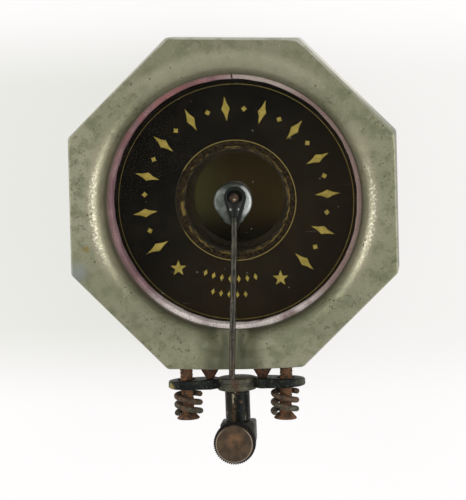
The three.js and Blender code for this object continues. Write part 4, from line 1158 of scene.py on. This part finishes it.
def arm_shape():
    """Rod with a slightly flattened section, hammered a little uneven."""
    line = arm_line()
    rings = []
    for i, point in enumerate(line):
        tangent = direction(line, i)
        across = tangent.cross(Vector((0, 0, 1))).normalized()
        up = across.cross(tangent)
        ring = []
        for angle in all_round(ROUND_SIDES):
            cos, sin = polar(1, angle)
            square = (abs(cos) ** 3 + abs(sin) ** 3) ** (-1 / 3)
            reach = ARM_RADIUS * (0.94 * square + waver(7, point + across * cos, 1.2, 0.03))
            ring.append(tuple(point + across * (reach * cos) + up * (reach * sin)))
        rings.append(ring)
    return loft(rings)


def eye_shape():
    low, high = ARM_LOW.z, ARM_EYE_HIGH
    levels = [(0.04, low), (0, low + 0.12), (0, high - 0.2), (0.03, high - 0.07), (0.09, high), (0.3, high),
              (0.42, high - 0.05), (0.6, high - 0.3), (0.86, high - 0.38), (1, high - 0.4), (1, low)]
    outline = drop_outline(ARM_EYE_RADIUS, ARM_RADIUS, ARM_TAPER)
    return hub_stack(outline, (-EYE_SHIFT, 0), (EYE_SHIFT, HUB_Y), levels)


def washer_shape():
    low, high = WASHER_LOW.z, WASHER_HIGH.z
    levels = [(0.03, low), (0, low + 0.1), (0.02, low + 0.26), (0.1, high - 0.14), (0.22, high - 0.03),
              (0.38, high), (1, high), (1, low)]
    outline = drop_outline(WASHER_RADIUS, WASHER_TIP_RADIUS, WASHER_TIP - WASHER_TIP_RADIUS)
    return hub_stack(outline, (-WASHER_X, HUB_Y - WASHER_Y), (WASHER_X, WASHER_Y), levels)


def hub_screw_shape():
    low, head = HUB_LOW.z, HUB_HIGH.z - HUB_HEAD_HEIGHT
    profile = [(0, low), (0.5, low), (0.6, low + 0.1), (0.6, head), (0.9, head), (0.9, head + 0.34),
               (0.8, head + 0.5), (0.6, head + 0.62), (0.3, head + 0.69), (0, HUB_HIGH.z)]
    return turned(profile, 48, centre=(0, HUB_Y, 0))


# Rocker, pivots and springs

def bar_outline(inset):
    """Points round the bar in plan: round ends, and sides that narrow beside the boss."""
    depth = BAR_DEPTH_HALF - inset
    reach = BAR_HALF - inset - depth
    points = []
    for side, start in ((1, -90), (-1, 90)):
        points += arc((side * reach, 0), depth, start, start + 180, 24)
        for i in range(1, BAR_STEPS):
            x = side * reach * (1 - 2 * i / BAR_STEPS)
            share = held((WAIST_OUTER - abs(x)) / (WAIST_OUTER - WAIST_INNER))
            points.append((x, side * (depth - WAIST_DEPTH * share ** 2 * (3 - 2 * share))))
    return points


def bar_shape():
    rolls = [(BAR_EDGE * (1 - math.cos(math.radians(t))), BAR_EDGE * (1 - math.sin(math.radians(t))))
             for t in (0, 30, 60, 90)]
    sections = [(inset, False, rise) for inset, rise in rolls[::-1]]
    sections += [(inset, True, -rise) for inset, rise in rolls]
    rings = []
    for inset, upper, offset in sections:
        ring = []
        for x, z in bar_outline(inset):
            out = abs(x) / BAR_HALF
            y = BAR_TOP_Y - BAR_CROWN * out ** 2 if upper else BAR_BOTTOM_Y + 0.2 * out ** 6
            uneven = 1 + waver(21, (x, y, z), 2.5, 0.012)
            ring.append((x * uneven, y + offset + waver(22, (x, 0, z), 2.6, 0.07), ROCKER_Z + z * uneven))
        rings.append(ring)
    return loft(rings)


def boss_shape():
    top, bottom, radius = BAR_HIGH.y, BAR_LOW.y, BOSS_RADIUS
    profile = [(0, bottom), (radius - 0.35, bottom), (radius - 0.1, bottom + 0.1), (radius, bottom + 0.35),
               (radius, bottom + 0.95), (radius - 0.12, bottom + 1.05), (radius - 0.12, top - 1.05),
               (radius, top - 0.95), (radius, top - 0.3), (radius - 0.12, top - 0.08),
               (radius - 0.35, top), (0, top)]
    return turned(profile, 96, "y", (0, 0, ROCKER_Z))


def stem_shape():
    top, bottom, flange, radius = STEM_HIGH.y, STEM_LOW.y, BAR_LOW.y, STEM_HIGH.x
    profile = [(0, bottom), (radius - 0.15, bottom), (radius - 0.06, bottom + 0.12),
               (radius - 0.06, flange - 0.5), (radius, flange - 0.3), (radius, flange),
               (STEM_TONGUE, flange), (STEM_TONGUE, top), (0, top)]
    return turned(profile, 80, "y", (0, 0, ROCKER_Z))


def threaded(radius, low, high):
    """Round shank with a fine thread cut round it."""
    rows = max(2, round((high - low) / THREAD_PITCH * 8))
    rings = []
    for k in range(rows + 1):
        y = low + (high - low) * k / rows
        ring = []
        for i in range(THREAD_SIDES):
            share = (y / THREAD_PITCH + i / THREAD_SIDES) % 1
            reach = radius - THREAD_DEPTH * abs(2 * share - 1) ** 1.3
            x, z = polar(reach, 2 * math.pi * (i / THREAD_SIDES))
            ring.append((x, y, z))
        rings.append(ring)
    return loft(rings)


def moved(shape, x, y, z):
    points, faces = shape
    return [(px + x, py + y, pz + z) for px, py, pz in points], faces


def leaned(shape, turn, x, y, shift=0):
    """A shape turned about a line along Z, then shifted along X."""
    points, faces = shape
    cos, sin = math.cos(turn), math.sin(turn)
    made = [(x + shift + (px - x) * cos - (py - y) * sin, y + (px - x) * sin + (py - y) * cos, pz)
            for px, py, pz in points]
    return made, faces


def on_rocker(shape):
    """The old rocker sits a little askew on its pivots."""
    return leaned(shape, ROCKER_TURN, 0, ROCKER_MIDDLE_Y, ROCKER_SHIFT)


def spring_point(side, turns):
    """Place on the middle line of a wound spring's wire, from its upper end at the right."""
    _, pitch, lean, gap = SPRING_FORMS[side]
    angle = -2 * math.pi * turns
    x, z = polar(SPRING_RADIUS, angle)
    top = BAR_BOTTOM_Y + CASE_HALF - gap - WIRE_RADIUS
    return Vector((x, top - pitch * turns + lean * (1 - math.cos(angle)) / 2, z))


def spring_shape(side):
    line = [spring_point(side, SPRING_FORMS[side][0] * i / SPRING_STEPS) for i in range(SPRING_STEPS + 1)]
    rings = []
    for i, point in enumerate(line):
        tangent = direction(line, i)
        across = tangent.cross(Vector((point.x, 0, point.z)).normalized()).normalized()
        out = across.cross(tangent)
        radius = WIRE_RADIUS * (WIRE_END_SHARE if i in (0, SPRING_STEPS) else 1)
        ring = []
        for angle in all_round(ROUND_SIDES):
            reach = radius * (1 + waver(31 + side, point * 2 + out * math.cos(angle), 0.9, 0.05))
            ring.append(tuple(point + out * (reach * math.cos(angle)) + across * (reach * math.sin(angle))))
        rings.append(ring)
    return loft(rings)


def tension_head_shape():
    """Flared head below the spring, domed underneath."""
    top, radius, dome = TENSION_HEAD_TOP, TENSION_HEAD_RADIUS, TENSION_HEAD_DOME
    edge = top - TENSION_HEAD_CONE
    low = edge - 0.12
    profile = [(0, low - dome)]
    profile += [(radius * math.sin(math.radians(t)), low - dome * math.cos(math.radians(t)))
                for t in (15, 30, 45, 60, 75)]
    profile += [(radius, low), (radius, edge), (TENSION_RADIUS + 0.1, top - 0.08),
                (TENSION_RADIUS - 0.1, top + 0.1), (0, top + 0.1)]
    return turned(profile, 56, "y")


def add_tension(side, name):
    rust = rust_material(f"rusty_screw_{name}_looks", (134, 86, 52), (104, 72, 46), (54, 42, 29))
    node = f"tension_screw_{name}"

    def hung(shape, shift=0):
        x, y = side * TENSION_X, -CASE_HALF
        return leaned(moved(shape, x + shift, y, ROCKER_Z), -side * TENSION_LEAN, x, y)

    slot = box((-4, TENSION_HEAD_TOP - 8, -TENSION_SLOT_HALF),
               (4, TENSION_HEAD_TOP - TENSION_HEAD_CONE - 0.1, TENSION_SLOT_HALF))
    head = hung(tension_head_shape())
    shank = hung(threaded(TENSION_RADIUS, TENSION_HEAD_TOP, TENSION_END))
    piece(f"tension_head_{name}", head, rust, "case", [node], carved=[hung(slot)])
    piece(f"tension_shank_{name}", shank, rust, "case", [node], 60)
    spring, steel = hung(spring_shape(side), -side * SPRING_SHIFT), spring_material()
    piece(f"coil_spring_{name}", spring, steel, "case", [f"tension_spring_{name}"], 60)


def add_pivot(side, name):
    low, high = span(f"pivot_cone_{name}")
    top, waist, base = BAR_TOP_Y + PIVOT_HEIGHT, PIVOT_WAIST_RADIUS, PIVOT_BASE_RADIUS
    profile = [(0, low.y), (0.2, low.y), (0.3, low.y + 0.08), (waist, BAR_TOP_Y),
               (waist + 0.02, BAR_TOP_Y + 0.15), (base - 0.12, top - 0.25), (base, top - 0.12), (base, top),
               (PIVOT_PIN_RADIUS, top), (PIVOT_PIN_RADIUS, high.y), (0, high.y)]
    rust = rust_material(f"rusty_pivot_{name}_looks", (112, 66, 38), (80, 50, 30), (44, 31, 20))
    shape = turned(profile, 48, "y", (side * PIVOT_X, 0, ROCKER_Z))
    piece(f"pivot_{name}", shape, rust, "case", [f"pivot_cone_{name}"])


def chuck_shape():
    """Block with softened shoulders above and a rounded lower end with a small flat land."""
    half = (CHUCK_HIGH.x - CHUCK_LOW.x) / 2

    def outline(inset):
        reach, top, corner = half - inset, CHUCK_HIGH.y - THUMB_Y - inset, CHUCK_CORNER
        right = [(reach, 0)] + arc((reach - corner, top - corner), corner, 0, 90)
        left = arc((-reach + corner, top - corner), corner, 90, 180) + [(-reach, 0)]
        below = [polar(reach, math.radians(t)) for t in range(190, 360, 10)]
        return right + left + [(x, max(y, CHUCK_LOW.y - THUMB_Y + inset)) for x, y in below]

    levels = ((0.4, CHUCK_LOW.z), (0.12, CHUCK_LOW.z + 0.1), (0, CHUCK_LOW.z + 0.35),
              (0, CHUCK_HIGH.z - 0.35), (0.12, CHUCK_HIGH.z - 0.1), (0.4, CHUCK_HIGH.z))
    return loft([[(x, THUMB_Y + y, z) for x, y in outline(inset)] for inset, z in levels])


def thumb_shape():
    """Knurled head with a chamfer, a bright rim and a shallow dished face."""
    low, high, face = HEAD_LOW.z, HEAD_HIGH.z, THUMB_FACE_RADIUS
    radius = (HEAD_HIGH.x - HEAD_LOW.x) / 2
    angles = all_round(THUMB_TEETH * TOOTH_POINTS)
    teeth = [math.sin(math.pi * i / TOOTH_POINTS) ** 4 for i in range(len(angles))]
    levels = [(0, low, 0), (radius - 0.55, low, 0), (radius - 0.2, low + 0.2, 0.5), (radius, low + 0.42, 1),
              (radius, high - 0.62, 1), (radius - 0.05, high - 0.46, 1), (face + 0.12, high - 0.1, 0.5),
              (face, high - 0.02, 0), (face - 0.1, high, 0), (face - 0.22, high - 0.02, 0),
              (face - 0.4, high - 0.07, 0), (2.2, high - 0.1, 0), (1, high - 0.12, 0), (0, high - 0.12, 0)]
    rings = []
    for reach, z, cut in levels:
        reaches = [max(reach - TOOTH_DEPTH * cut * tooth, 1e-3) for tooth in teeth]
        ring = [polar(tooth_reach, angle) for tooth_reach, angle in zip(reaches, angles)]
        rings.append([(x, THUMB_Y + y, z) for x, y in ring])
    return loft(rings)


def add_bar():
    holes = []
    for side in (-1, 1):
        x = side * (TENSION_X - TENSION_LEAN * (-CASE_HALF - ROCKER_MIDDLE_Y))
        holes.append(peg(TENSION_HOLE, BAR_BOTTOM_Y - 1, BAR_TOP_Y + 1, 40, "y", (x, 0, ROCKER_Z)))
    bar, boss, stem = (on_rocker(shape) for shape in (bar_shape(), boss_shape(), stem_shape()))
    piece("bar", bar, lacquer_material(), "rocker", ["rocker_bar"], carved=holes)
    piece("bar_boss", boss, boss_material(), "rocker", ["rocker_bar"])
    piece("stem", stem, stem_material(), "rocker", ["needle_stem"])


def add_chuck():
    steel = steel_material("chuck_looks", 0.4, 1.2, (0.45, 0.7), (36, 35, 25), (54, 52, 41), (76, 69, 52))
    bore = peg(NEEDLE_BORE, CHUCK_LOW.y - 1, CHUCK_LOW.y + NEEDLE_BORE_DEPTH, 28, "y", (0, 0, ROCKER_Z))
    thread = peg(SHANK_HIGH.x + 0.05, ROCKER_Z, HEAD_LOW.z, 40, "z", (0, THUMB_Y, 0))
    cuts = [on_rocker(bore), thread]
    piece("chuck", on_rocker(chuck_shape()), steel, "rocker", ["needle_chuck"], carved=cuts)


def add_arm():
    piece("arm_rod", arm_shape(), rod_material(), "rocker", ["stylus_arm"], 50)
    piece("arm_eye", eye_shape(), eye_material(), "rocker", ["stylus_arm"])
    piece("drop_washer", washer_shape(), washer_material(), "rocker", ["front_washer"])
    shine = (0.1, HUB_Y - 0.25, HUB_HIGH.z)
    rust = rust_material("hub_rust_looks", (112, 84, 60), (76, 58, 42), (44, 36, 27), 0.5, shine)
    slot = box((-1.2, HUB_Y - 0.13, HUB_HIGH.z - 0.22), (1.2, HUB_Y + 0.13, HUB_HIGH.z + 1))
    piece("hub_pin", hub_screw_shape(), rust, "rocker", ["hub_screw"], carved=[slot])


def add_thumbscrew():
    dark = steel_material("dark_steel_looks", 0.6, 1.2, (0.3, 0.55),
                          (46, 42, 36), (70, 65, 55), (110, 104, 92))
    piece("thumb_head", thumb_shape(), copper_material(), "needle_screw_head",
          ["thumbscrew_head"], 28)
    dress(["thumbscrew_shank", "hub_nut"], dark, 0.05)
    dress(["rear_washer"], dark, 0.08)


# Back of the soundbox

def insulator_shape():
    """Rubber ring with rounded edges, a faint groove round its side and a seat for the socket."""
    low, high, outer = RUBBER_LOW.z, RUBBER_HIGH.z, RUBBER_HIGH.x
    middle, inner, seat, well = (low + high) / 2, 12.45, 10.4, 14.15
    profile = [(inner, low), (outer - 0.5, low)] + arc((outer - 0.5, low + 0.5), 0.5, -90, -20, 4)
    profile += [(outer - 0.02, low + 1.1), (outer, middle - 0.12), (outer - 0.08, middle),
                (outer, middle + 0.12), (outer - 0.02, high - 1.1)]
    profile += arc((outer - 0.5, high - 0.5), 0.5, 20, 90, 4)
    profile += [(seat, high), (seat, high - 1.2), (well, high - 1.2), (well, high - 2.6), (inner, high - 2.6)]
    return turned(profile, 160, closed=True)


def add_screw(name, node, steel, head, slot_depth):
    low, high = span(node)
    x, y = (low.x + high.x) / 2, (low.y + high.y) / 2
    profile = [(0, low.z)] + [(radius, low.z + height) for radius, height in head]
    profile += [(BACK_SCREW_SHANK, high.z), (0, high.z)]
    slot = box((x - 5, y - BACK_SLOT_HALF, low.z - 1), (x + 5, y + BACK_SLOT_HALF, low.z + slot_depth))
    piece(name, turned(profile, 48, centre=(x, y, 0)), steel, "case", [node], carved=[slot])


def add_back():
    steel = steel_material("screw_steel_looks", 0.8, 1.4, (0.3, 0.55),
                           (96, 94, 82), (138, 136, 124), (84, 62, 40))
    dress(["tonearm_socket"], brass_material(), 0.1)
    dress(["clamp_ring"], plate_material(), 0.1)
    black = black_rubber_material()
    piece("insulator_ring", insulator_shape(), black, "case", ["rubber_insulator"])
    for name, node, count, slot_depth, head in BACK_SCREWS:
        for i in range(1, count + 1):
            add_screw(f"{name}_{i}", f"{node}_{i}", steel, head, slot_depth)


bpy.context.scene.view_settings.view_transform = "Standard"
add_camera()
add_world()
for lamp_name, (lamp_place, lamp_size, lamp_brightness) in LAMPS.items():
    add_lamp(lamp_name, lamp_place, lamp_size, lamp_brightness)
add_floor()
add_case()
add_print()
add_bar()
add_chuck()
add_arm()
add_thumbscrew()
for side_sign, side_name in ((-1, "left"), (1, "right")):
    add_tension(side_sign, side_name)
    add_pivot(side_sign, side_name)
add_back()
